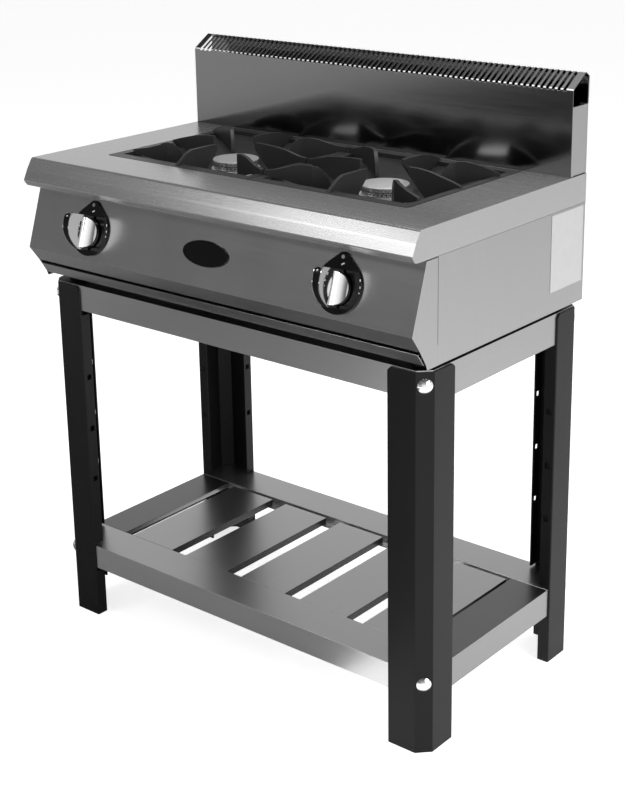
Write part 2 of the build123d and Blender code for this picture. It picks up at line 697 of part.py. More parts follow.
def folded_splash():
    """Splashback, sloping vent hood and rear lip in one sheet, slotted from fold to fold."""
    inner_path = offset_path(splash_path, ts)
    sheet = side_slab(sheet_outline(splash_path, ts), -SPLASH_HALF_X, SPLASH_HALF_X)
    sheet = round_folds(sheet, [RIDGE, LOUVRE_BACK, splash_top], FOLD_RADIUS)
    sheet = round_folds(sheet, inner_path[1:4], FOLD_RADIUS - ts)
    above = RIDGE[1] + 2 * ts
    outline = (
        (SPLASH_FRONT - ts, LOUVRE_START), (SPLASH_FRONT - ts, above), (LOUVRE_STOP, above),
        (LOUVRE_STOP, SPLASH_TOP + 4 * ts), (SPLASH_FRONT + 8 * ts, LOUVRE_START),
    )
    slots = []
    for i in range(LOUVRE_COUNT):
        x = (i - (LOUVRE_COUNT - 1) / 2) * LOUVRE_PITCH
        slots.append(side_slab(outline, x - LOUVRE_SLOT / 2, x + LOUVRE_SLOT / 2))
    return sheet - slots


keep("splashback_hood", folded_splash())

rear_face = LOUVRE_FOOT[0] - ts
flue = box(-SPLASH_HALF_X, SPLASH_HALF_X, rear_face - ts, rear_face, TOP_HEIGHT, FLUE_TOP)
flue += box(-SPLASH_HALF_X, SPLASH_HALF_X, FLUE_BACK + 1, rear_face, TOP_HEIGHT, TOP_HEIGHT + ts)
keep("flue_back", flue)

cap_y = (SPLASH_FRONT + ts, rear_face - ts)
cap_z = (TOP_HEIGHT + ts, END_CAP_TOP)
cap_rim = SPLASH_HALF_X - SIDE_FLANGE
cap_sheet = box(SPLASH_HALF_X - ts, SPLASH_HALF_X, *cap_y, *cap_z)
cap_sheet += box(cap_rim, SPLASH_HALF_X, cap_y[0], cap_y[0] + ts, *cap_z)
cap_sheet += box(cap_rim, SPLASH_HALF_X, cap_y[1] - ts, cap_y[1], *cap_z)
keep("end_cap_right", cap_sheet)
keep("end_cap_left", mirror_x(cap_sheet))


# ---------------------------------------------------------------- pan supports
def arm(profile, angle, thickness=ARM_THICK):
    """A plate on edge whose outline is (distance, height), turned about the vertical."""
    upright = Plane((0, thickness / 2, 0), x_dir=(1, 0, 0), z_dir=(0, -1, 0))
    return Rot(0, 0, angle) * slab(profile, thickness, upright)


def pan_support():
    """The right-hand trivet about its own burner: a square frame with eight rising arms."""
    x0 = FRAME_CLEAR / 2 - BURNER_X
    x1 = WELL_HALF_X - FRAME_CLEAR - BURNER_X
    y0 = WELL_FRONT + FRAME_CLEAR - BURNER_Y
    y1 = WELL_BACK - FRAME_CLEAR - BURNER_Y
    frame = box(x0, x1, y0, y1, LEDGE_HEIGHT, TOP_HEIGHT)
    outer_edges = frame.edges().filter_by(Axis.Z).sort_by(Axis.X)[-2:]
    frame = fillet(outer_edges, WELL_CORNER)
    window_x = (x0 + FRAME_SIDE, x1 - FRAME_SIDE)
    window_y = (y0 + FRAME_FRONT, y1 - FRAME_FRONT)
    shape = frame - box(*window_x, *window_y, LEDGE_HEIGHT - 1, TOP_HEIGHT + 1)
    shape += arm(OUTER_ARM, 0)
    shape += arm(MIDDLE_ARM, 180)
    shape += arm(FRONT_ARM, 270)
    shape += arm(BACK_ARM, 90)
    for sx in (1, -1):
        for sy in (1, -1):
            tip = Pos(sx * CORNER_TIP[0], sy * CORNER_TIP[1], 0)
            heading = CORNER_HEADING if sx * sy > 0 else -CORNER_HEADING
            inward = 225 if sx * sy > 0 else 135
            if sx < 0:
                heading += 180
                inward += 180
            profile = CORNER_MIDDLE
            if sx > 0:
                profile = CORNER_OUTER if sy > 0 else CORNER_FRONT
            shape += tip * arm(profile, heading)
            shape += tip * arm(CORNER_NOSE, inward)
            low, high = CORNER_POST
            shape += tip * Pos(0, 0, (low + high) / 2) * Cylinder(ARM_THICK / 2, high - low)
    return shape


support = pan_support()
keep("pan_support_right", Pos(BURNER_X, BURNER_Y, 0) * support)
keep("pan_support_left", Pos(-BURNER_X, BURNER_Y, 0) * mirror_x(support))


# ---------------------------------------------------------------- burners
def burner_base():
    """Cup, pale seating ring and mixing tube, about the burner's own axis."""
    cup_height = BASE_RING_BOTTOM - BASE_CUP_BOTTOM
    ring_height = RING_BOTTOM - BASE_RING_BOTTOM
    shape = Pos(0, 0, BASE_CUP_BOTTOM + cup_height / 2) * Cylinder(BASE_CUP_DIAMETER / 2, cup_height)
    shape += Pos(0, 0, BASE_RING_BOTTOM + ring_height / 2) * Cylinder(BASE_RING_DIAMETER / 2, ring_height)
    length = BURNER_Y - MIX_MOUTH
    along = Pos(0, -length / 2, MIX_HEIGHT) * Rot(90, 0, 0)
    mouth = Pos(0, -length + MIX_FLARE_LENGTH / 2, MIX_HEIGHT) * Rot(90, 0, 0)
    outer = MIX_RADIUS + MIX_WALL
    shape += along * Cylinder(outer, length)
    shape += mouth * Cone(outer, outer + MIX_FLARE, MIX_FLARE_LENGTH)
    hollow_low = BASE_CUP_BOTTOM + BASE_CUP_FLOOR
    hollow_high = RING_BOTTOM + 1
    hollow_radius = BASE_CUP_DIAMETER / 2 - BASE_CUP_WALL
    shape -= Pos(0, 0, (hollow_low + hollow_high) / 2) * Cylinder(hollow_radius, hollow_high - hollow_low)
    shape -= Pos(0, -BASE_CUP_FLOOR * 4, 0) * along * Cylinder(MIX_RADIUS, length)
    shape -= mouth * Cone(MIX_RADIUS, MIX_RADIUS + MIX_FLARE, MIX_FLARE_LENGTH + 0.02)
    return shape


def burner_ring():
    """Ring with two rows of flame ports."""
    height = CAP_BOTTOM - RING_BOTTOM
    shape = Pos(0, 0, RING_BOTTOM + height / 2) * Cylinder(RING_DIAMETER / 2, height)
    shape -= Pos(0, 0, RING_BOTTOM + height / 2) * Cylinder(RING_DIAMETER / 2 - RING_WALL, height + 2)
    drills = []
    for row, z in enumerate(PORT_ROWS):
        for i in range(PORT_COUNT):
            angle = (i + row / 2) * 360 / PORT_COUNT
            bore = Pos(RING_DIAMETER / 2, 0, z) * Rot(0, 90, 0) * Cylinder(PORT_SIZE / 2, 4 * RING_WALL)
            drills.append(Rot(0, 0, angle) * bore)
    return shape - drills


def burner_cap():
    """Lift-off cap: a low dome on a plain rim, with a spigot inside the ring."""
    radius = CAP_DIAMETER / 2
    rim = Pos(0, 0, CAP_BOTTOM + CAP_RIM / 2) * Cylinder(radius, CAP_RIM)
    ball = (radius ** 2 + CAP_DOME ** 2) / (2 * CAP_DOME)
    crown = Pos(0, 0, CAP_BOTTOM + CAP_RIM + CAP_DOME - ball) * Sphere(ball)
    crown &= Pos(0, 0, CAP_BOTTOM + CAP_RIM + CAP_DOME / 2) * Cylinder(radius, CAP_DOME)
    spigot_radius = RING_DIAMETER / 2 - RING_WALL - CLEAR
    hang = Pos(0, 0, CAP_BOTTOM - CAP_SPIGOT / 2)
    spigot = hang * Cylinder(spigot_radius, CAP_SPIGOT)
    spigot -= hang * Cylinder(spigot_radius - CAP_SPIGOT_WALL, CAP_SPIGOT + 2)
    return rim + crown + spigot


for name, maker in (("burner_base", burner_base), ("burner_ring", burner_ring), ("burner_cap", burner_cap)):
    piece = maker()
    keep(f"{name}_left", Pos(-BURNER_X, BURNER_Y, 0) * piece)
    keep(f"{name}_right", Pos(BURNER_X, BURNER_Y, 0) * piece)

rail_y = (BURNER_Y - CROSS_RAIL_DEPTH / 2, BURNER_Y + CROSS_RAIL_DEPTH / 2)
rail_z = (BASE_CUP_BOTTOM - CROSS_RAIL_HEIGHT, BASE_CUP_BOTTOM)
rail = box(-inside, inside, *rail_y, *rail_z)
rail -= box(
    -inside - 1, inside + 1,
    rail_y[0] + RAIL_SHEET, rail_y[1] - RAIL_SHEET,
    rail_z[0] - 1, rail_z[1] - RAIL_SHEET,
)
keep("burner_cross_rail", rail)

# ---------------------------------------------------------------- gas train
run_front = (-MANIFOLD_LEFT, tube_y, tube_z)
elbow = (INLET_X, tube_y, tube_z)
run_back = (INLET_X, BODY_BACK - INLET_LENGTH, tube_z)
line_path = FilletPolyline(run_front, elbow, run_back, radius=PIPE_BEND)
section_plane = Plane(run_front, z_dir=(1, 0, 0))
pipe = sweep(section_plane * Circle(PIPE_DIAMETER / 2), path=line_path)
pipe_bore = sweep(section_plane * Circle(PIPE_DIAMETER / 2 - PIPE_WALL), path=line_path)
pipe -= pipe_bore
pipe += Pos(-MANIFOLD_LEFT, tube_y, tube_z) * Rot(0, 90, 0) * Cylinder(PIPE_DIAMETER / 2, 4)
socket_frame = Plane((INLET_X, BODY_BACK, tube_z), x_dir=(1, 0, 0), z_dir=(0, -1, 0))
socket = extrude(socket_frame * RegularPolygon(INLET_ACROSS / 2, 6, major_radius=False), INLET_LENGTH)
socket -= extrude(socket_frame * Circle(INLET_BORE / 2), INLET_LENGTH)
pipe += socket
keep("gas_manifold", pipe)


def tap_body(x):
    """Valve body from just behind the panel to a saddle on the manifold, with an outlet boss."""
    axis = Location(panel_plane(x, TAP_S))
    length = MANIFOLD_DEPTH - PIPE_DIAMETER / 2
    shape = axis * Pos(0, 0, -PANEL_SHEET - length / 2) * Cylinder(TAP_DIAMETER / 2, length)
    y, z = on_panel(TAP_S, -FEED_DEPTH)
    shape += Pos(x, y, z + FEED_START / 2) * Cylinder(FEED_BOSS / 2, FEED_START)
    shape -= Pos(x, tube_y, tube_z) * Rot(0, 90, 0) * Cylinder(PIPE_DIAMETER / 2, 3 * CUT)
    bore = STEM_TAIL + 2 * TAP_SLACK
    shape -= axis * Pos(0, 0, -STEM_TAIL / 2) * Cylinder(STEM_DIAMETER / 2 + FIT / 2, bore)
    return shape


def stem(x):
    """Spindle with a flat towards the knob end."""
    axis = Location(panel_plane(x, TAP_S))
    length = STEM_TAIL + STEM_REACH
    shape = Pos(0, 0, (STEM_REACH - STEM_TAIL) / 2) * Cylinder(STEM_DIAMETER / 2, length)
    flat_middle = STEM_REACH - STEM_FLAT_LENGTH + CUT / 2
    shape -= Pos(0, STEM_FLAT + CUT / 2, flat_middle) * Box(CUT, CUT, CUT)
    return axis * shape


def bezel(x):
    """Teardrop plate round the knob, with an opening for the stem and a fixing hole."""
    half = BEZEL_WIDTH / 2
    centre = BEZEL_FOOT - half
    tip_radius = BEZEL_TIP_RADIUS
    tip = BEZEL_APEX + tip_radius
    drop = Pos(0, -centre) * Circle(half)
    neck = Pos(0, -tip) * Circle(tip_radius)
    reach = centre - tip
    lean = (half - tip_radius) / reach
    across = (1 - lean * lean) ** 0.5
    wedge = [
        (tip_radius * across, -tip + tip_radius * lean),
        (half * across, -centre + half * lean),
        (-half * across, -centre + half * lean),
        (-tip_radius * across, -tip + tip_radius * lean),
    ]
    outline = drop + neck + make_face(Polyline(*wedge, close=True))
    outline -= Pos(0, -TAP_S) * Circle(STEM_HOLE / 2)
    outline -= Pos(0, -BEZEL_SCREW) * Circle(SCREW_HOLE / 2)
    shape = extrude(outline, BEZEL_THICK)
    return Location(panel_plane(x, 0)) * shape


def grip(width, height_change=0.0):
    """The fin of the grip: its curved crest seen from the side, extruded across its width."""
    crest = [(y, z + height_change) for y, z in GRIP_CREST]
    top, toe = crest[0], crest[-1]
    sides = Polyline(toe, (toe[0], SKIRT_BACK), (top[0], SKIRT_BACK), top)
    outline = make_face([Spline(*crest), sides])
    return extrude(Plane((-width / 2, 0, 0), x_dir=(0, 1, 0), z_dir=(1, 0, 0)) * outline, width)


def knob():
    """Round skirt that sweeps up on both sides into a fin-shaped grip, in the stem's own frame."""
    half = SKIRT_DIAMETER / 2
    side = GRIP_THICK / 2
    sweep_radius = half - side
    sweep_top = SKIRT_FRONT + sweep_radius
    tall = sweep_top + half
    diagonal = sweep_radius * 0.5 ** 0.5
    foot = Polyline((side, tall), (0, tall), (0, SKIRT_BACK), (half, SKIRT_BACK), (half, SKIRT_FRONT))
    hollow = ThreePointArc((half, SKIRT_FRONT), (half - diagonal, sweep_top - diagonal), (side, sweep_top))
    flank = Line((side, sweep_top), (side, tall))
    across = Plane((0, half + CLEAR, 0), x_dir=(1, 0, 0), z_dir=(0, -1, 0))
    right = extrude(across * make_face([foot, hollow, flank]), 2 * (half + CLEAR))
    body = (right + mirror_x(right)) & Pos(0, 0, tall / 2) * Cylinder(half, tall)
    shape = (body & grip(2 * half)) + grip(GRIP_THICK)
    bore_depth = STEM_REACH + PRESS_TRAVEL + 1
    bore = Cylinder(STEM_DIAMETER / 2 + FIT / 2, 2 * bore_depth)
    flat = Pos(0, STEM_FLAT + FIT / 2 + CUT / 2, bore_depth / 2 + KNOB_FLAT_START) * Box(CUT, CUT, bore_depth)
    shape -= bore - flat
    return shape


def knob_insert():
    """Black strip along the crest of the grip, round at its top and narrower at its foot."""
    band = grip(GRIP_THICK, INSERT_PROUD) - grip(GRIP_THICK, -INSERT_DEPTH)
    radius = INSERT_TOP_WIDTH / 2
    top_middle = GRIP_CREST[0][0] - INSERT_RIM - radius
    toe = GRIP_CREST[-1][0] - 1
    foot = INSERT_FOOT_WIDTH / 2
    taper = make_face(Polyline(
        (-radius, top_middle), (-foot, toe), (foot, toe), (radius, top_middle), close=True
    ))
    plan = taper + Pos(0, top_middle) * Circle(radius)
    return band & extrude(plan, 2 * GRIP_CREST[2][1])


handle = knob()
strip = knob_insert()
handle -= strip
for side_name, x in (("left", -TAP_X), ("right", TAP_X)):
    frame = Location(panel_plane(x, TAP_S))
    keep(f"tap_body_{side_name}", tap_body(x))
    keep(f"tap_stem_{side_name}", stem(x))
    keep(f"bezel_{side_name}", bezel(x))
    keep(f"knob_{side_name}", frame * handle)
    keep(f"knob_insert_{side_name}", frame * strip)

feeds = []
for tap, burner in ((-TAP_X, -BURNER_X), (TAP_X, BURNER_X)):
    y, z = on_panel(TAP_S, -FEED_DEPTH)
    start = (tap, y, z + FEED_START)
    lift = (tap, y, MIX_HEIGHT)
    over = (burner, y, MIX_HEIGHT)
    end = (burner, INJECTOR_BACK - INJECTOR_LENGTH, MIX_HEIGHT)
    route = FilletPolyline(start, lift, over, end, radius=FEED_BEND)
    tube = sweep(Plane(start, z_dir=(0, 0, 1)) * Circle(FEED_DIAMETER / 2), path=route)
    nozzle = Pos(burner, INJECTOR_BACK - INJECTOR_LENGTH / 2, MIX_HEIGHT) * Rot(90, 0, 0)
    feeds.append(tube + nozzle * Cylinder(INJECTOR_RADIUS, INJECTOR_LENGTH))
keep("gas_feeds", group(feeds))

# ---------------------------------------------------------------- drip tray
w = TRAY_HALF_WIDTH
front_wall = STRIP_PROFILE[-1][0]
floor = TRAY_FLOOR
tray = box(-w, w, front_wall, TRAY_BACK, floor, floor + TRAY_WALL)
tray -= box(
    -w + TRAY_SHEET, w - TRAY_SHEET,
    front_wall + TRAY_SHEET, TRAY_BACK - TRAY_SHEET,
    floor + TRAY_SHEET, floor + 2 * TRAY_WALL,
)
keep("drip_tray", tray)
tray_front = side_slab(sheet_outline(STRIP_PROFILE, TRAY_SHEET), -STRIP_HALF_WIDTH, STRIP_HALF_WIDTH)
riser = box(-w, w, front_wall - TRAY_SHEET, front_wall, STRIP_PROFILE[2][1], floor + TRAY_WALL)
tray_front += riser
keep("drip_tray_front", tray_front)

runners = []
for sign in (-1, 1):
    outer = sign * (inside - CASING_SHEET)
    inner = sign * (TRAY_HALF_WIDTH - RUNNER_WIDTH)
    x_pair = sorted((outer, inner))
    ledge = box(*x_pair, BASE_FRONT, TRAY_BACK, RUNNER_TOP - CASING_SHEET, RUNNER_TOP)
    foot = sorted((inner, inner + sign * CASING_SHEET))
    ledge += box(*foot, BASE_FRONT, TRAY_BACK, base_z + CASING_SHEET, RUNNER_TOP)
    runners.append(ledge)
keep("tray_runners", group(runners))

# ---------------------------------------------------------------- small screws
screws = []
for x in (-TAP_X, TAP_X):
    seat = Location(panel_plane(x, BEZEL_SCREW, BEZEL_THICK))
    head = Pos(0, 0, SCREW_HEAD / 2) * Cylinder(BEZEL_SCREW_HEAD / 2, SCREW_HEAD)
    shank = Pos(0, 0, -BEZEL_SCREW_REACH / 2) * Cylinder(BEZEL_SCREW_SIZE / 2, BEZEL_SCREW_REACH)
    screws.append(seat * (head + shank))
for x in FLUE_SCREW_X:
    for z in FLUE_SCREW_Z:
        seat = Pos(x, rear_face + SCREW_HEAD / 2, z) * Rot(90, 0, 0)
        screws.append(seat * Cylinder(FLUE_SCREW_HEAD / 2, SCREW_HEAD))
keep("casing_screws", group(screws))

# ---------------------------------------------------------------- placement and export
boxes = [shape.bounding_box() for shape in nodes.values()]
front_most = min(b.min.Y for b in boxes)
back_most = max(b.max.Y for b in boxes)
shift = -(front_most + back_most) / 2
os.makedirs("parts", exist_ok=True)
for name, shape in nodes.items():
    placed = Pos(0, shift, 0) * shape
    export_step(placed, f"parts/{name}.step")
print("nodes", len(nodes), "shift", round(shift, 3))
print("front", front_most, "back", back_most)
print("top", max(b.max.Z for b in boxes), "bottom", min(b.min.Z for b in boxes))
print("sides", min(b.min.X for b in boxes), max(b.max.X for b in boxes))
tap_y, tap_z = on_panel(TAP_S, 0)
print("tap axis point", round(tap_y + shift, 3), round(tap_z, 3), "normal", outward.X, outward.Y)
print("manifold axis", round(tube_y + shift, 3), round(tube_z, 3))
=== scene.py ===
"""Visual model of a two-burner gas boiling range standing on an open slatted stand."""
from __future__ import annotations

import json
import logging
import math
from dataclasses import dataclass
from enum import Enum
from typing import Callable

import bmesh
import bpy
from mathutils import Matrix, Vector

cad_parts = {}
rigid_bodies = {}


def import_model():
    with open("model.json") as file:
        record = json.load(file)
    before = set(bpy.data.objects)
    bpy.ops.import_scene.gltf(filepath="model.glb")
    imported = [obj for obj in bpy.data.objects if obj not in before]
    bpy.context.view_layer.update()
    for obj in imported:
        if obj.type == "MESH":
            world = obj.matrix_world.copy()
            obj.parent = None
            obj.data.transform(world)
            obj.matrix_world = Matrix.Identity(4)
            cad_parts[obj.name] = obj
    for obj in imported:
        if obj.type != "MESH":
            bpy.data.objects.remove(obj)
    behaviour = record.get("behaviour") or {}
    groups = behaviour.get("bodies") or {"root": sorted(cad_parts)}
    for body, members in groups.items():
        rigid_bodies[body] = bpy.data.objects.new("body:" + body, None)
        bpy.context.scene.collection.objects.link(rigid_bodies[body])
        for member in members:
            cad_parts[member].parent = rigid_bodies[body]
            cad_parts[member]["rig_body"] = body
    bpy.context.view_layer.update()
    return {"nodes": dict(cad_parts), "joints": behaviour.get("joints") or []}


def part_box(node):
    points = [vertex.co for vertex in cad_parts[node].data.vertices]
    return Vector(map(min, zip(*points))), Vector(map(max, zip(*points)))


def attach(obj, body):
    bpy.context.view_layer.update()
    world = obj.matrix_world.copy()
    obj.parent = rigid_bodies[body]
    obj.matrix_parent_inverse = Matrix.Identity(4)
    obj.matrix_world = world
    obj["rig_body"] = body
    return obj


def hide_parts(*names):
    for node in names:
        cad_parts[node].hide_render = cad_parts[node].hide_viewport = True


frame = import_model()
LOG = logging.getLogger("range")
MM = 0.001
CREASE = 34.0  # degrees: a sharper edge stays hard and is rounded by a bevel
MERGE_DISTANCE = 2e-6
FLAT_ANGLE = 0.4  # degrees: triangles that differ by less are one flat face
FACING = 0.9  # a unit vector's share along an axis from which it counts as pointing that way
Pair = tuple[float, float]
Triple = tuple[float, float, float]


class Axis(Enum):
    """A row axis, along which the grain of a sheet runs."""

    X = 0
    Y = 1
    Z = 2

    def stretched(self, share: float) -> Triple:
        """The pattern scale that draws a pattern out along this axis."""
        return tuple(share if place == self.value else 1.0 for place in range(3))


class Side(Enum):
    """A side of the range, with the sign of its x."""

    LEFT = -1
    RIGHT = 1

    @property
    def label(self) -> str:
        """The side's word in the names of nodes and pieces."""
        return self.name.lower()


# ------------------------------------------------------------------ shader maths
class Wire:
    """A shader socket that takes part in Python arithmetic."""

    def __init__(self, graph: Graph, socket: bpy.types.NodeSocket | None) -> None:
        """Hold the output socket and the graph it belongs to."""
        self.graph = graph
        self.socket = socket

    def _maths(self, operation: str, *values: Wire | float) -> Wire:
        """Add one Math node for an expression."""
        return self.graph.node("ShaderNodeMath", {"operation": operation}, dict(enumerate(values)))

    def __add__(self, other: Wire | float) -> Wire:
        """Sum."""
        return self._maths("ADD", self, other)

    def __radd__(self, other: float) -> Wire:
        """Sum, reflected."""
        return self._maths("ADD", other, self)

    def __mul__(self, other: Wire | float) -> Wire:
        """Product."""
        return self._maths("MULTIPLY", self, other)

    def __rmul__(self, other: float) -> Wire:
        """Product, reflected."""
        return self._maths("MULTIPLY", other, self)

    def clamp(self) -> Wire:
        """Limit the value to the range 0 to 1."""
        return self.graph.node("ShaderNodeClamp", {}, {0: self})


@dataclass(frozen=True)
class Fade:
    """A multiplier that falls from 1 to a level while a value goes from start to stop."""

    start: float
    stop: float
    level: float


class Graph:
    """One node tree, of a material or of the world, with a single method that adds any node."""

    def __init__(self, owner: bpy.types.Material | bpy.types.World) -> None:
        """Empty the owner's node tree and hold it.

        Args:
            owner: the material or the world.
        """
        owner.use_nodes = True
        self.owner = owner
        self.tree = owner.node_tree
        self.tree.nodes.clear()

    @classmethod
    def of_material(cls, name: str) -> Graph:
        """The empty graph of a new material with this name."""
        return cls(bpy.data.materials.new(name))

    def node(self, kind: str, settings: dict, inputs: dict, output: int | str = 0) -> Wire:
        """Add a node.

        Args:
            kind: the node's type name.
            settings: its properties, which are set before its sockets.
            inputs: values or wires by socket name or number.
            output: which of its outputs to hand back.

        Returns:
            The chosen output as a wire, which is empty for a closing node.
        """
        made = self.tree.nodes.new(kind)
        for key, value in settings.items():
            setattr(made, key, value)
        for key, value in inputs.items():
            if isinstance(value, Wire):
                self.tree.links.new(value.socket, made.inputs[key])
            else:
                made.inputs[key].default_value = value
        return Wire(self, made.outputs[output] if len(made.outputs) else None)

    def place(self, scale: Triple = (1.0, 1.0, 1.0)) -> Wire:
        """Object coordinates, scaled."""
        where = self.node("ShaderNodeTexCoord", {}, {}, "Object")
        return self.node("ShaderNodeMapping", {}, {"Vector": where, "Scale": scale})

    def noise(self, vector: Wire, scale: float, detail: float = 2.0, rough: float = 0.5) -> Wire:
        """Fractal noise between 0 and 1."""
        values = {"Vector": vector, "Scale": scale, "Detail": detail, "Roughness": rough}
        return self.node("ShaderNodeTexNoise", {}, values, "Fac")

    def blend(self, factor: Wire, first: Triple, second: Triple) -> Wire:
        """A colour between two tones."""
        ends = {0: factor, 6: (*first, 1.0), 7: (*second, 1.0)}
        return self.node("ShaderNodeMix", {"data_type": "RGBA"}, ends, 2)

    def bump(self, height: Wire, distance: float) -> Wire:
        """A normal disturbed by a height, where a height of 1 stands for a distance in metres."""
        return self.node("ShaderNodeBump", {}, {"Height": height, "Distance": distance}, "Normal")

    def faded(self, value: Wire, fade: Fade) -> Wire:
        """The multiplier that a fade gives for a value."""
        values = {0: value, 1: fade.start, 2: fade.stop, 3: 1.0, 4: fade.level}
        return self.node("ShaderNodeMapRange", {}, values)

    def finish(self, values: dict) -> bpy.types.Material:
        """Close the tree with a Principled shader.

        Args:
            values: Principled sockets by name.

        Returns:
            The finished material.
        """
        shader = self.node("ShaderNodeBsdfPrincipled", {}, values, "BSDF")
        self.node("ShaderNodeOutputMaterial", {}, {"Surface": shader})
        return self.owner


def grey(value: float) -> Triple:
    """A neutral tone."""
    return (value, value, value)


# ------------------------------------------------------------------ finishes
@dataclass(frozen=True)
class BrushedSteel:
    """Satin stainless sheet with a fine grain along one axis."""

    name: str
    tone: float
    roughness: float
    grain: Axis = Axis.X
    patch: float = 0.03
    metallic: float = 1.0
    # share of painted reflection: vertical streaks in the colour, like a brushed sheet's reflections
    bands: float = 0.0
    depth: float = 0.01 * MM
    grain_stretch: float = 0.1
    grain_scale: float = 2600.0
    streak_stretch: float = 0.03
    streak_scale: float = 240.0
    cloud_scale: float = 5.0
    band_stretch: float = 0.06
    band_scale: float = 16.0

    def material(self) -> bpy.types.Material:
        """Make the material: grain in the normal and roughness, cloudy patches and faint vertical streaks of
        painted reflection.

        Returns:
            The material.
        """
        g = Graph.of_material(self.name)
        grain = g.noise(g.place(self.grain.stretched(self.grain_stretch)), self.grain_scale, 2.0, 0.6)
        streak = g.noise(g.place(self.grain.stretched(self.streak_stretch)), self.streak_scale, 3.0, 0.6)
        cloud = g.noise(g.place(), self.cloud_scale)
        # painted reflection: vertical streaks across the grain
        painted_streaks = g.noise(g.place(Axis.Z.stretched(self.band_stretch)), self.band_scale)
        rest = 1.0 - self.bands
        mixed = (streak * (0.6 * rest) + cloud * (0.4 * rest) + painted_streaks * self.bands).clamp()
        low = grey(self.tone * (1 - self.patch * 2))
        high = grey(self.tone * (1 + self.patch * 2))
        return g.finish({
            "Base Color": g.blend(mixed, low, high),
            "Metallic": self.metallic,
            "Roughness": (grain * 0.08 + streak * 0.06 + (self.roughness - 0.07)).clamp(),
            "Normal": g.bump(grain, self.depth),
        })


@dataclass(frozen=True)
class PowderCoat:
    """Near-black powder paint with a fine orange-peel grain."""

    name: str
    tone: float
    roughness: float
    specular: float
    pebble_scale: float = 900.0
    pebble_depth: float = 0.22 * MM
    speck_scale: float = 2200.0
    wear_scale: float = 9.0

    def material(self) -> bpy.types.Material:
        """Make the material: speckled tone and a pebbled surface.

        Returns:
            The material.
        """
        g = Graph.of_material(self.name)
        pebble = g.noise(g.place(), self.pebble_scale, 3.0, 0.6)
        speck = g.noise(g.place(), self.speck_scale, 1.0)
        worn = g.noise(g.place(), self.wear_scale, 3.0, 0.6)
        mixed = (speck * 0.7 + worn * 0.3).clamp()
        return g.finish({
            "Base Color": g.blend(mixed, grey(self.tone * 0.6), grey(self.tone * 1.7)),
            "Roughness": (pebble * 0.16 + worn * 0.08 + (self.roughness - 0.12)).clamp(),
            "Specular IOR Level": self.specular,
            "Normal": g.bump(pebble, self.pebble_depth),
        })


@dataclass(frozen=True)
class Enamel:
    """Semi-gloss black vitreous enamel with slow waves from the firing."""

    name: str
    tone: float
    roughness: float
    specular: float
    wave_scale: float = 26.0
    wave_depth: float = 0.2 * MM
    mottle_scale: float = 420.0

    def material(self) -> bpy.types.Material:
        """Make the material: faint mottling and a gently uneven gloss.

        Returns:
            The material.
        """
        g = Graph.of_material(self.name)
        slow = g.noise(g.place(), self.wave_scale)
        fine = g.noise(g.place(), self.mottle_scale)
        return g.finish({
            "Base Color": g.blend(fine, grey(self.tone * 0.7), grey(self.tone * 1.5)),
            "Roughness": (fine * 0.10 + slow * 0.10 + (self.roughness - 0.1)).clamp(),
            "Specular IOR Level": self.specular,
            "Normal": g.bump((slow * 0.85 + fine * 0.15).clamp(), self.wave_depth),
        })


@dataclass(frozen=True)
class Gloss:
    """Smooth glossy moulding."""

    name: str
    tone: float
    roughness: float
    specular: float
    mark_stretch: float = 0.2
    mark_scale: float = 700.0
    flow_scale: float = 60.0
    flow_depth: float = 0.04 * MM

    def material(self) -> bpy.types.Material:
        """Make the material: a clear gloss with hairline marks.

        Returns:
            The material.
        """
        g = Graph.of_material(self.name)
        marks = g.noise(g.place(Axis.Y.stretched(self.mark_stretch)), self.mark_scale, 2.0, 0.6)
        flow = g.noise(g.place(), self.flow_scale)
        return g.finish({
            "Base Color": g.blend(flow, grey(self.tone * 0.8), grey(self.tone * 1.3)),
            "Roughness": (marks * 0.06 + (self.roughness - 0.02)).clamp(),
            "Specular IOR Level": self.specular,
            "Normal": g.bump(flow, self.flow_depth),
        })


@dataclass(frozen=True)
class Metal:
    """Plating, cast alloy, brass, rubber or print, set by its numbers."""

    name: str
    tone: Triple
    roughness: float
    metallic: float = 1.0
    grain_scale: float = 300.0
    depth: float = 0.03 * MM

    def material(self) -> bpy.types.Material:
        """Make the material: a faint grain in tone, roughness and normal.

        Returns:
            The material.
        """
        g = Graph.of_material(self.name)
        grain = g.noise(g.place(), self.grain_scale, 3.0, 0.6)
        cloud = g.noise(g.place(), self.grain_scale / 12)
        low = tuple(part * 0.88 for part in self.tone)
        high = tuple(min(1.0, part * 1.1) for part in self.tone)
        return g.finish({
            "Base Color": g.blend((grain * 0.5 + cloud * 0.5).clamp(), low, high),
            "Metallic": self.metallic,
            "Roughness": (grain * 0.08 + cloud * 0.05 + max(0.0, self.roughness - 0.05)).clamp(),
            "Normal": g.bump(grain, self.depth),
        })


@dataclass(frozen=True)
class Paper:
    """Matt paper or cloth of the studio, with faint clouds and perhaps a glow of its own."""

    name: str
    low: float
    high: float
    glow: float = 0.0
    roughness: float = 0.9
    cloud_scale: float = 1.5

    def material(self) -> bpy.types.Material:
        """Make the material: slow clouds between two greys.

        Returns:
            The material.
        """
        g = Graph.of_material(self.name)
        return g.finish({
            "Base Color": g.blend(g.noise(g.place(), self.cloud_scale), grey(self.low), grey(self.high)),
            "Roughness": self.roughness,
            "Emission Color": (*grey(1.0), 1.0),
            "Emission Strength": self.glow,
        })


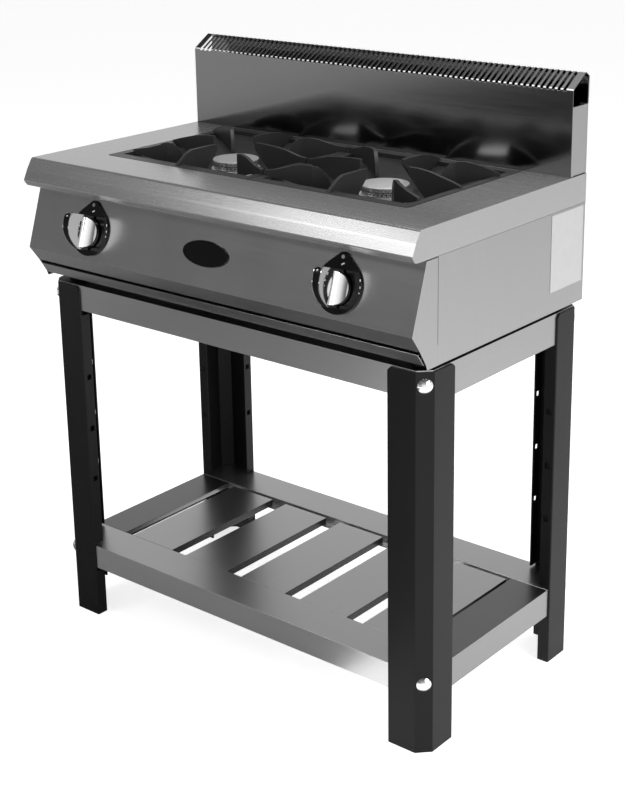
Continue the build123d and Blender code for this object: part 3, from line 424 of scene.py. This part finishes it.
class Finishes:
    """Every finish on the range, made once."""

    def __init__(self) -> None:
        """Make the materials, one for each record slot or finer use."""
        makers = (
            PowderCoat("leg_paint", tone=0.005, roughness=0.42, specular=0.18),
            BrushedSteel("stand_steel", tone=0.60, roughness=0.30),
            # darker copies of the stand steel for the side aprons and side shelf rails: painted shade on the
            # sideways pieces
            BrushedSteel("stand_steel_side", tone=0.32, roughness=0.30, grain=Axis.Y),
            BrushedSteel("shelf_side_steel", tone=0.27, roughness=0.30, grain=Axis.Y),
            BrushedSteel("shelf_steel", tone=0.70, roughness=0.30),
            BrushedSteel("slat_steel", tone=0.70, roughness=0.30, grain=Axis.Y),
            # painted shade: near-black steel on the slats' side flanges, which lie in the shade between the
            # slats
            BrushedSteel("slat_edge_steel", tone=0.06, roughness=0.40, grain=Axis.Y),
            BrushedSteel("worktop_steel", tone=0.36, roughness=0.26, patch=0.015, metallic=0.75),
            # painted reflection streaks on the control panel and the tray's front strip
            BrushedSteel("panel_steel", tone=0.52, roughness=0.22, patch=0.07, bands=0.7),
            BrushedSteel("side_steel", tone=0.34, roughness=0.34, grain=Axis.Z),
            BrushedSteel("splash_steel", tone=0.19, roughness=0.14),
            # painted shade: dark steel on both slopes of the hood
            BrushedSteel("hood_slope_steel", tone=0.12, roughness=0.20),
            # painted highlight: near-white steel on the hood's top and folds
            BrushedSteel("hood_fold_steel", tone=0.95, roughness=0.30, metallic=0.4),
            BrushedSteel("inner_steel", tone=0.40, roughness=0.36),
            # painted shade: near-black steel for the apron tops, drip tray, base pan and runners, in the dark
            # below the casing
            BrushedSteel("underside_steel", tone=0.04, roughness=0.50),
            Enamel("enamel_black", tone=0.026, roughness=0.40, specular=0.35),
            Gloss("bezel_black", tone=0.003, roughness=0.12, specular=0.30),
            Gloss("badge_black", tone=0.003, roughness=0.08, specular=0.25),
            Gloss("insert_black", tone=0.004, roughness=0.30, specular=0.12),
            Metal("mark_white", grey(0.80), roughness=0.45, metallic=0.0),
            Metal("fastener_chrome", grey(0.78), roughness=0.07),
            Metal("knob_chrome", grey(0.80), roughness=0.05, depth=0.01 * MM),
            Metal("cap_alloy", grey(0.85), roughness=0.34, metallic=0.75, grain_scale=900.0),
            Metal("burner_alloy", grey(0.92), roughness=0.22, metallic=0.9, grain_scale=900.0),
            Metal("burner_iron", grey(0.80), 0.4, metallic=0.6, grain_scale=500.0, depth=0.2 * MM),
            Metal("pipe_steel", grey(0.20), 0.5, metallic=0.3, grain_scale=260.0, depth=0.1 * MM),
            Metal("tap_brass", (0.55, 0.40, 0.16), roughness=0.28, grain_scale=400.0),
            Metal("plate_grey", grey(0.50), roughness=0.42, metallic=0.5, grain_scale=700.0),
            Metal("joint_black", grey(0.01), roughness=0.7, metallic=0.0),
            Metal("spacer_rubber", grey(0.02), 0.7, metallic=0.0, grain_scale=500.0, depth=0.1 * MM),
        )
        self.made = {maker.name: maker.material() for maker in makers}

    def __getitem__(self, name: str) -> bpy.types.Material:
        """The material of this name."""
        return self.made[name]


# ------------------------------------------------------------------ pieces
@dataclass(frozen=True)
class Rounding:
    """A small live bevel on a piece's hard edges."""

    width: float
    segments: int = 2

    def apply(self, piece: bpy.types.Object) -> None:
        """Round the hard edges and keep the flats true.

        Args:
            piece: the piece.
        """
        rounding = piece.modifiers.new("edge_rounding", "BEVEL")
        rounding.width = self.width
        rounding.segments = self.segments
        rounding.limit_method = "ANGLE"
        rounding.angle_limit = math.radians(CREASE)
        rounding.use_clamp_overlap = True
        flats = piece.modifiers.new("true_flats", "WEIGHTED_NORMAL")
        flats.weight = 80
        flats.keep_sharp = True


def body_of(node: str) -> str:
    """The body that a CAD node rides on."""
    return frame["nodes"][node]["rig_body"]


def link_mesh(bm: bmesh.types.BMesh, name: str, material: bpy.types.Material) -> bpy.types.Object:
    """Turn a bmesh into an object of the scene.

    Args:
        bm: the shape; it is freed.
        name: the object's name.
        material: its material.

    Returns:
        The new object.
    """
    mesh = bpy.data.meshes.new(name)
    bm.to_mesh(mesh)
    bm.free()
    mesh.materials.append(material)
    made = bpy.data.objects.new(name, mesh)
    bpy.context.scene.collection.objects.link(made)
    return made


def add_piece(bm: bmesh.types.BMesh, name: str, body: str, slot: str, material: bpy.types.Material,
              *replaced: str, crease: float = CREASE) -> bpy.types.Object:
    """Turn a bmesh into a piece that rides on a body.

    Args:
        bm: the shape, in metres in the shared frame; it is freed.
        name: the piece's name.
        body: the body it rides on.
        slot: the record's material slot; not used.
        material: its material.
        replaced: CAD nodes it stands for.
        crease: edges sharper than this many degrees stay hard.

    Returns:
        The new object.
    """
    limit = math.radians(crease)
    for face in bm.faces:
        face.smooth = True
    for edge in bm.edges:
        edge.smooth = len(edge.link_faces) == 2 and edge.calc_face_angle(0.0) < limit
    piece = link_mesh(bm, name, material)
    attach(piece, body)
    if replaced:
        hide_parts(*replaced)
    LOG.info("piece %s rides on %s", name, body)
    return piece


def copy_node(node: str) -> bmesh.types.BMesh:
    """Copy a CAD node's mesh with its corners merged and its flat triangles joined.

    Args:
        node: the node's name.

    Returns:
        The clean copy.
    """
    bm = bmesh.new()
    bm.from_mesh(frame["nodes"][node].data)
    bmesh.ops.remove_doubles(bm, verts=bm.verts, dist=MERGE_DISTANCE)
    bmesh.ops.dissolve_limit(bm, angle_limit=math.radians(FLAT_ANGLE), verts=bm.verts, edges=bm.edges)
    return bm


def soft_node(node: str, slot: str, material: bpy.types.Material, rounding: Rounding) -> bpy.types.Object:
    """Replace a CAD node by its own clean copy with rounded edges.

    Args:
        node: the node's name.
        slot: the record's material slot.
        material: the copy's material.
        rounding: the bevel on its hard edges.

    Returns:
        The new piece.
    """
    piece = add_piece(copy_node(node), f"{node}_soft", body_of(node), slot, material, node)
    rounding.apply(piece)
    return piece


def shade_faces(piece: bpy.types.Object, chosen: Callable[[Vector], bool],
                material: bpy.types.Material) -> None:
    """Give some faces of a piece a material of their own.

    Args:
        piece: the piece.
        chosen: tells from a face's normal whether it is one of them.
        material: their material.
    """
    piece.data.materials.append(material)
    for face in piece.data.polygons:
        if chosen(face.normal):
            face.material_index = len(piece.data.materials) - 1


def looks_sideways(normal: Vector) -> bool:
    """Whether a face looks to the left or the right."""
    return abs(normal.x) > FACING


def looks_up(normal: Vector) -> bool:
    """Whether a face looks upwards."""
    return normal.z > FACING


def dress_node(node: str, material: bpy.types.Material) -> None:
    """Give a CAD node that stays visible its finish.

    Args:
        node: the node's name.
        material: its material.
    """
    target = frame["nodes"][node]
    if not target.material_slots:
        target.data.materials.append(material)
    for holder in target.material_slots:
        holder.material = material
    LOG.info("node %s dressed", node)


# ------------------------------------------------------------------ sub-assemblies
@dataclass
class Stand:
    """Folded legs, aprons, shelf rails, slats and the corner bolts."""

    finishes: Finishes
    leg_fold: Rounding = Rounding(0.8 * MM, 3)
    sheet_edge: Rounding = Rounding(0.5 * MM)
    slat_fold: Rounding = Rounding(0.7 * MM, 3)
    bolt_edge: Rounding = Rounding(0.3 * MM)
    slats: int = 5

    def build(self) -> None:
        """Make every piece of the stand."""
        f = self.finishes
        for end in ("front", "rear"):
            for side in Side:
                soft_node(f"leg_{end}_{side.label}", "leg_paint", f["leg_paint"], self.leg_fold)
            self.apron(end, f["stand_steel"])
            soft_node(f"shelf_rail_{end}", "stand_steel", f["shelf_steel"], self.sheet_edge)
        for side in Side:
            # the side aprons and side shelf rails take the darker copies of the stand steel: painted shade
            self.apron(side.label, f["stand_steel_side"])
            soft_node(f"shelf_rail_{side.label}", "stand_steel", f["shelf_side_steel"], self.sheet_edge)
        for number in range(1, self.slats + 1):
            slat = soft_node(f"shelf_slat_{number}", "stand_steel", f["slat_steel"], self.slat_fold)
            # the slats' side flanges get painted shade
            shade_faces(slat, looks_sideways, f["slat_edge_steel"])
        for node in ("stand_bolts", "stand_nuts"):
            soft_node(node, "fastener_chrome", f["fastener_chrome"], self.bolt_edge)

    def apron(self, place: str, material: bpy.types.Material) -> None:
        """One apron, with painted shade on its upper fold, which lies in the gap below the casing.

        Args:
            place: its side, as in the node's name.
            material: its steel.
        """
        apron = soft_node(f"apron_{place}", "stand_steel", material, self.sheet_edge)
        # the upward faces get painted shade
        shade_faces(apron, looks_up, self.finishes["underside_steel"])


@dataclass
class Casing:
    """Side panels, control panel, badge, plate, tray and everything inside the box."""

    finishes: Finishes
    sheet_edge: Rounding = Rounding(0.5 * MM)
    cap_edge: Rounding = Rounding(0.4 * MM)
    panel_fold: Rounding = Rounding(0.6 * MM, 3)
    badge_edge: Rounding = Rounding(0.9 * MM, 4)
    plate_edge: Rounding = Rounding(0.15 * MM)
    tray_edge: Rounding = Rounding(0.3 * MM)
    strip_edge: Rounding = Rounding(0.4 * MM)
    joint_thickness: float = 0.2 * MM
    cheek_joint: float = 0.7 * MM
    cheek_foot: float = 32 * MM
    skirt_joint: float = 0.9 * MM
    skirt_lead: float = 28 * MM

    def build(self) -> None:
        """Make every piece of the casing."""
        f = self.finishes
        for side in Side:
            soft_node(f"side_panel_{side.label}", "case_steel", f["side_steel"], self.sheet_edge)
            soft_node(f"end_cap_{side.label}", "splash_steel", f["side_steel"], self.cap_edge)
        panel = soft_node("control_panel", "case_steel", f["panel_steel"], self.panel_fold)
        shade_faces(panel, looks_sideways, f["side_steel"])
        soft_node("badge_blank", "badge_black", f["badge_black"], self.badge_edge)
        soft_node("data_plate_blank", "plate_grey", f["plate_grey"], self.plate_edge)
        # the drip tray, base pan and tray runners get painted shade in near-black steel
        soft_node("drip_tray", "case_steel", f["underside_steel"], self.tray_edge)
        soft_node("drip_tray_front", "case_steel", f["panel_steel"], self.strip_edge)
        for node in ("back_panel", "burner_cross_rail", "body_bolts", "casing_screws"):
            dress_node(node, f["inner_steel"])
        for node in ("base_pan", "tray_runners"):
            dress_node(node, f["underside_steel"])
        dress_node("body_spacers", f["spacer_rubber"])
        for side in Side:
            self.joint_lines(side)

    def joint_lines(self, side: Side) -> None:
        """The dark joints beside the panel's cheek and below the worktop's skirt.

        Args:
            side: the side of the casing.
        """
        low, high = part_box(f"side_panel_{side.label}")
        face = high.x if side is Side.RIGHT else low.x
        skirt_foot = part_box("worktop")[0].z
        lines = (
            ("cheek", (low.y, low.z + self.cheek_foot), (low.y + self.cheek_joint, skirt_foot)),
            ("skirt", (low.y - self.skirt_lead, skirt_foot - self.skirt_joint), (high.y, skirt_foot)),
        )
        for name, start, stop in lines:
            bm = bmesh.new()
            bmesh.ops.create_cube(bm, size=1.0)
            size = (self.joint_thickness, stop[0] - start[0], stop[1] - start[1])
            bmesh.ops.scale(bm, vec=size, verts=bm.verts)
            middle = (face, (start[0] + stop[0]) / 2, (start[1] + stop[1]) / 2)
            bmesh.ops.translate(bm, vec=middle, verts=bm.verts)
            add_piece(bm, f"joint_{name}_{side.label}", body_of("control_panel"), "case_steel",
                      self.finishes["joint_black"])


@dataclass
class Hob:
    """Worktop, dish, pan supports and burners."""

    finishes: Finishes
    worktop_edge: Rounding = Rounding(0.9 * MM, 3)
    dish_edge: Rounding = Rounding(0.8 * MM, 3)
    support_edge: Rounding = Rounding(1.2 * MM, 3)
    cup_edge: Rounding = Rounding(0.8 * MM)
    ring_edge: Rounding = Rounding(0.2 * MM)
    cap_edge: Rounding = Rounding(0.5 * MM, 3)
    seam_height: float = 1.0 * MM
    seam_proud: float = 0.15 * MM
    seam_steps: int = 64

    def build(self) -> None:
        """Make every piece of the hob."""
        f = self.finishes
        soft_node("worktop", "case_steel", f["worktop_steel"], self.worktop_edge)
        soft_node("hob_dish", "enamel_black", f["enamel_black"], self.dish_edge)
        for side in Side:
            label = side.label
            soft_node(f"pan_support_{label}", "enamel_black", f["enamel_black"], self.support_edge)
            soft_node(f"burner_base_{label}", "burner_iron", f["burner_iron"], self.cup_edge)
            soft_node(f"burner_ring_{label}", "burner_alloy", f["burner_alloy"], self.ring_edge)
            soft_node(f"burner_cap_{label}", "burner_alloy", f["cap_alloy"], self.cap_edge)
            self.seam("low", label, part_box(f"burner_ring_{label}")[0].z + self.seam_height / 2)
            self.seam("high", label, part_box(f"burner_cap_{label}")[0].z)

    def seam(self, name: str, label: str, height: float) -> None:
        """A dark joint line round a burner ring.

        Args:
            name: which seam of the burner it is.
            label: the burner's side.
            height: the line's height above the floor.
        """
        low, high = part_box(f"burner_ring_{label}")
        radius = (high.x - low.x) / 2 + self.seam_proud
        middle = (low + high) / 2
        bm = bmesh.new()
        bmesh.ops.create_cone(bm, cap_ends=False, segments=self.seam_steps, radius1=radius, radius2=radius,
                              depth=self.seam_height)
        bmesh.ops.translate(bm, vec=(middle.x, middle.y, height), verts=bm.verts)
        bmesh.ops.recalc_face_normals(bm, faces=bm.faces)
        add_piece(bm, f"seam_{name}_{label}", body_of(f"burner_base_{label}"), "burner_iron",
                  self.finishes["joint_black"])


@dataclass
class Splashback:
    """Splashback and slotted hood in one sheet, and the sheet behind them."""

    finishes: Finishes
    hood_edge: Rounding = Rounding(0.3 * MM)
    back_edge: Rounding = Rounding(0.4 * MM)
    front_slope: Pair = (-24.0, 38.0)
    rear_slope: Pair = (7.5, 11.0)
    flatness: float = 0.999
    least_rise: float = 0.12
    most_sideways: float = 0.3

    def build(self) -> None:
        """Make every piece of the splashback."""
        f = self.finishes
        hood = soft_node("splashback_hood", "splash_steel", f["splash_steel"], self.hood_edge)
        # painted highlight on the hood's top and folds, then painted shade on its slopes
        shade_faces(hood, self.on_top, f["hood_fold_steel"])
        shade_faces(hood, self.on_slope, f["hood_slope_steel"])
        soft_node("flue_back", "splash_steel", f["splash_steel"], self.back_edge)

    def on_top(self, normal: Vector) -> bool:
        """Whether a face belongs to the hood's top, folds and slopes alike; all of these take the painted
        highlight.
        """
        return normal.z > self.least_rise and abs(normal.x) < self.most_sideways

    def on_slope(self, normal: Vector) -> bool:
        """Whether a face lies in one of the hood's two slopes, on either skin; these take the painted shade.
        """
        slopes = (Vector((0.0, *slope)).normalized() for slope in (self.front_slope, self.rear_slope))
        return any(abs(normal.dot(slope)) > self.flatness for slope in slopes)


@dataclass(frozen=True)
class Print:
    """A short bar printed on a bezel, with its place across and up the panel from the tap."""

    name: str
    across: float
    up: float
    turn: float
    width: float
    length: float


@dataclass
class GasTrain:
    """Knobs, bezels, taps, pipes and feeds."""

    finishes: Finishes
    knob_edge: Rounding = Rounding(0.8 * MM, 3)
    bezel_edge: Rounding = Rounding(0.9 * MM, 3)
    bezel_face: float = 3.65 * MM
    print_thickness: float = 0.3 * MM
    prints: tuple[Print, ...] = (
        Print("pointer", across=1 * MM, up=36.5 * MM, turn=-58.0, width=2.2 * MM, length=6.5 * MM),
        Print("level_full", across=37.5 * MM, up=18 * MM, turn=16.0, width=1.6 * MM, length=4.0 * MM),
        Print("level_high", across=39.5 * MM, up=8 * MM, turn=6.0, width=1.3 * MM, length=3.2 * MM),
        Print("level_low", across=39.5 * MM, up=-0.5 * MM, turn=-4.0, width=1.1 * MM, length=2.4 * MM),
    )
    dot_radius: float = 2.1 * MM
    dot_flatness: float = 0.45
    dot_up: float = 21.5 * MM
    dot_lift: float = 58.4 * MM
    dot_crease: float = 60.0

    def build(self) -> None:
        """Make the gas parts."""
        f = self.finishes
        for side in Side:
            for bar in self.prints:
                self.mark(bar, side)
            self.dot(side)
            soft_node(f"knob_{side.label}", "knob_chrome", f["knob_chrome"], self.knob_edge)
            soft_node(f"knob_insert_{side.label}", "insert_black", f["insert_black"], self.knob_edge)
            soft_node(f"bezel_{side.label}", "bezel_black", f["bezel_black"], self.bezel_edge)
            dress_node(f"tap_body_{side.label}", f["tap_brass"])
            dress_node(f"tap_stem_{side.label}", f["tap_brass"])
        dress_node("gas_manifold", f["pipe_steel"])
        dress_node("gas_feeds", f["tap_brass"])

    def place(self, side: Side, across: float, up: float, lift: float, turn: float = 0.0) -> Matrix:
        """A frame at a tap whose z axis looks out of the panel and whose y axis runs up it.

        Args:
            side: the tap's side.
            across: distance to the right of the tap, in metres.
            up: distance up the panel from the tap, in metres.
            lift: height above the panel, in metres.
            turn: turn about the outward axis, in degrees.

        Returns:
            The frame as a 4 x 4 matrix.
        """
        tap = next(joint for joint in frame["joints"] if joint["name"] == f"tap_{side.label}_turn")
        right = Vector((1.0, 0.0, 0.0))
        out = Vector(tap["axis"])
        rise = out.cross(right)
        axes = Matrix((right, rise, out)).transposed().to_4x4()
        middle = Vector(tap["pos_m"]) + right * across + rise * up + out * lift
        return Matrix.Translation(middle) @ axes @ Matrix.Rotation(math.radians(turn), 4, "Z")

    def mark(self, bar: Print, side: Side) -> None:
        """A thin printed bar with round ends on a bezel.

        Args:
            bar: its shape and place.
            side: the bezel's side.
        """
        bm = bmesh.new()
        bmesh.ops.create_cube(bm, size=1.0)
        bmesh.ops.scale(bm, vec=(bar.width, bar.length, self.print_thickness), verts=bm.verts)
        corners = [edge for edge in bm.edges
                   if abs((edge.verts[0].co - edge.verts[1].co).normalized().z) > FACING]
        bmesh.ops.bevel(bm, geom=corners, offset=bar.width * 0.49, offset_type="OFFSET", segments=4,
                        profile=0.5, affect="EDGES", clamp_overlap=True, material=-1)
        placed = self.place(side, bar.across, bar.up, self.bezel_face, bar.turn)
        bmesh.ops.transform(bm, matrix=placed, verts=bm.verts)
        add_piece(bm, f"{bar.name}_{side.label}", body_of(f"bezel_{side.label}"), "bezel_black",
                  self.finishes["mark_white"])

    def dot(self, side: Side) -> None:
        """The small bright dome near the top of a knob's grip.

        Args:
            side: the knob's side.
        """
        bm = bmesh.new()
        bmesh.ops.create_uvsphere(bm, u_segments=20, v_segments=12, radius=self.dot_radius)
        bmesh.ops.scale(bm, vec=(1.0, 1.0, self.dot_flatness), verts=bm.verts)
        placed = self.place(side, 0.0, self.dot_up, self.dot_lift)
        bmesh.ops.transform(bm, matrix=placed, verts=bm.verts)
        add_piece(bm, f"grip_dot_{side.label}", body_of(f"knob_insert_{side.label}"), "knob_chrome",
                  self.finishes["knob_chrome"], crease=self.dot_crease)


# ------------------------------------------------------------------ studio
def lay_sheet(name: str, middle: Triple, size: Pair, material: bpy.types.Material) -> bpy.types.Object:
    """Lay a flat sheet of the studio.

    Args:
        name: the sheet's name.
        middle: its centre.
        size: its width and depth.
        material: its material.

    Returns:
        The new object.
    """
    bm = bmesh.new()
    bmesh.ops.create_grid(bm, x_segments=1, y_segments=1, size=0.5)
    bmesh.ops.scale(bm, vec=(*size, 1.0), verts=bm.verts)
    bmesh.ops.translate(bm, vec=middle, verts=bm.verts)
    sheet = link_mesh(bm, name, material)
    return sheet


@dataclass(frozen=True)
class Card:
    """A dark card lying on the floor, which only the reflections see."""

    name: str
    middle: Pair
    size: Pair
    tone: float
    lift: float = 2 * MM

    def lay(self) -> None:
        """Make the card."""
        cloth = Paper(f"{self.name}_cloth", self.tone * 0.9, self.tone * 1.1)
        card = lay_sheet(self.name, (*self.middle, self.lift), self.size, cloth.material())
        card.visible_camera = False
        card.visible_diffuse = False
        card.visible_shadow = False


@dataclass(frozen=True)
class Softbox:
    """A rectangular area light aimed at a point, with its power in watts."""

    name: str
    place: Triple
    target: Triple
    size: Pair
    power: float

    def hang(self) -> None:
        """Make the light."""
        light = bpy.data.lights.new(self.name, "AREA")
        light.shape = "RECTANGLE"
        light.size, light.size_y = self.size
        light.energy = self.power
        lamp = bpy.data.objects.new(self.name, light)
        bpy.context.scene.collection.objects.link(lamp)
        lamp.location = self.place
        lamp.rotation_euler = (Vector(self.target) - Vector(self.place)).to_track_quat("-Z", "Y").to_euler()


@dataclass
class Studio:
    """Floor, surround, soft lights and the camera."""

    floor_paper: Paper = Paper("floor_paper", 0.90, 0.92, glow=0.72)
    floor_size: Pair = (60.0, 60.0)
    cards: tuple[Card, ...] = (
        Card("near_card", middle=(-2.3, -1.9), size=(3.6, 1.5), tone=0.22),
        Card("under_card", middle=(-0.8, -0.5), size=(1.9, 1.3), tone=0.30),
        Card("far_card", middle=(-1.2, -4.6), size=(4.4, 3.8), tone=0.02),
    )
    lamps: tuple[Softbox, ...] = (
        Softbox("key", (-1.1, -1.9, 2.15), (0.0, -0.2, 0.85), size=(1.0, 0.6), power=11.0),
        Softbox("overhead", (0.3, 0.2, 3.2), (0.0, 0.0, 0.6), size=(2.6, 2.6), power=60.0),
        Softbox("right_fill", (3.2, -0.3, 1.6), (0.0, 0.0, 0.6), size=(2.0, 2.0), power=40.0),
    )
    surround: float = 1.15
    ceiling: Fade = Fade(0.15, 0.35, 0.38)
    zenith: Fade = Fade(0.5, 0.68, 0.3)
    open_side: Fade = Fade(0.35, 0.85, 0.2)
    open_side_way: Triple = (-0.62, -0.78, -0.08)
    eye: Triple = (1.63596, -1.87651, 1.39401)
    azimuth: float = 38.749
    elevation: float = 16.495
    roll: float = -0.549
    lens: float = 69.82
    sensor: float = 36.0
    shift: Pair = (-0.05, -0.15)

    def build(self) -> None:
        """Set the stage."""
        lay_sheet("floor", (0.0, 0.0, 0.0), self.floor_size, self.floor_paper.material())
        self.world()
        for card in self.cards:
            card.lay()
        for lamp in self.lamps:
            lamp.hang()
        self.camera()

    def world(self) -> None:
        """A white surround that darkens upwards and low down to the front left, as a studio does."""
        bpy.context.scene.world = bpy.data.worlds.new("surround")
        g = Graph(bpy.context.scene.world)
        where = g.node("ShaderNodeTexCoord", {}, {}, "Generated")
        height = g.node("ShaderNodeSeparateXYZ", {}, {0: where}, "Z")
        aim = Vector(self.open_side_way).normalized()
        facing = g.node("ShaderNodeVectorMath", {"operation": "DOT_PRODUCT"}, {0: where, 1: aim}, "Value")
        shade = g.faded(height, self.ceiling) * g.faded(height, self.zenith) * g.faded(facing, self.open_side)
        values = {"Color": (*grey(1.0), 1.0), "Strength": shade * self.surround}
        back = g.node("ShaderNodeBackground", {}, values)
        g.node("ShaderNodeOutputWorld", {}, {"Surface": back})

    def camera(self) -> None:
        """The camera at the photograph's angle."""
        data = bpy.data.cameras.new("camera")
        data.sensor_width = self.sensor
        data.sensor_fit = "AUTO"
        data.lens = self.lens
        data.shift_x, data.shift_y = self.shift
        camera = bpy.data.objects.new("camera", data)
        bpy.context.scene.collection.objects.link(camera)
        a, e, r = (math.radians(angle) for angle in (self.azimuth, self.elevation, self.roll))
        back = Vector((math.sin(a) * math.cos(e), -math.cos(a) * math.cos(e), math.sin(e)))
        right = (-back).cross(Vector((0.0, 0.0, 1.0))).normalized()
        up = right.cross(-back)
        side = right * math.cos(r) + up * math.sin(r)
        rise = up * math.cos(r) - right * math.sin(r)
        turn = Matrix((side, rise, back)).transposed().to_4x4()
        camera.matrix_world = Matrix.Translation(self.eye) @ turn
        bpy.context.scene.camera = camera
        bpy.context.scene.view_settings.view_transform = "Standard"


def main() -> None:
    """Build the range and its studio."""
    logging.basicConfig(level=logging.INFO, format="%(message)s")
    finishes = Finishes()
    for assembly in (Stand, Casing, Hob, Splashback, GasTrain):
        assembly(finishes).build()
    Studio().build()


if __name__ == "__main__":
    main()
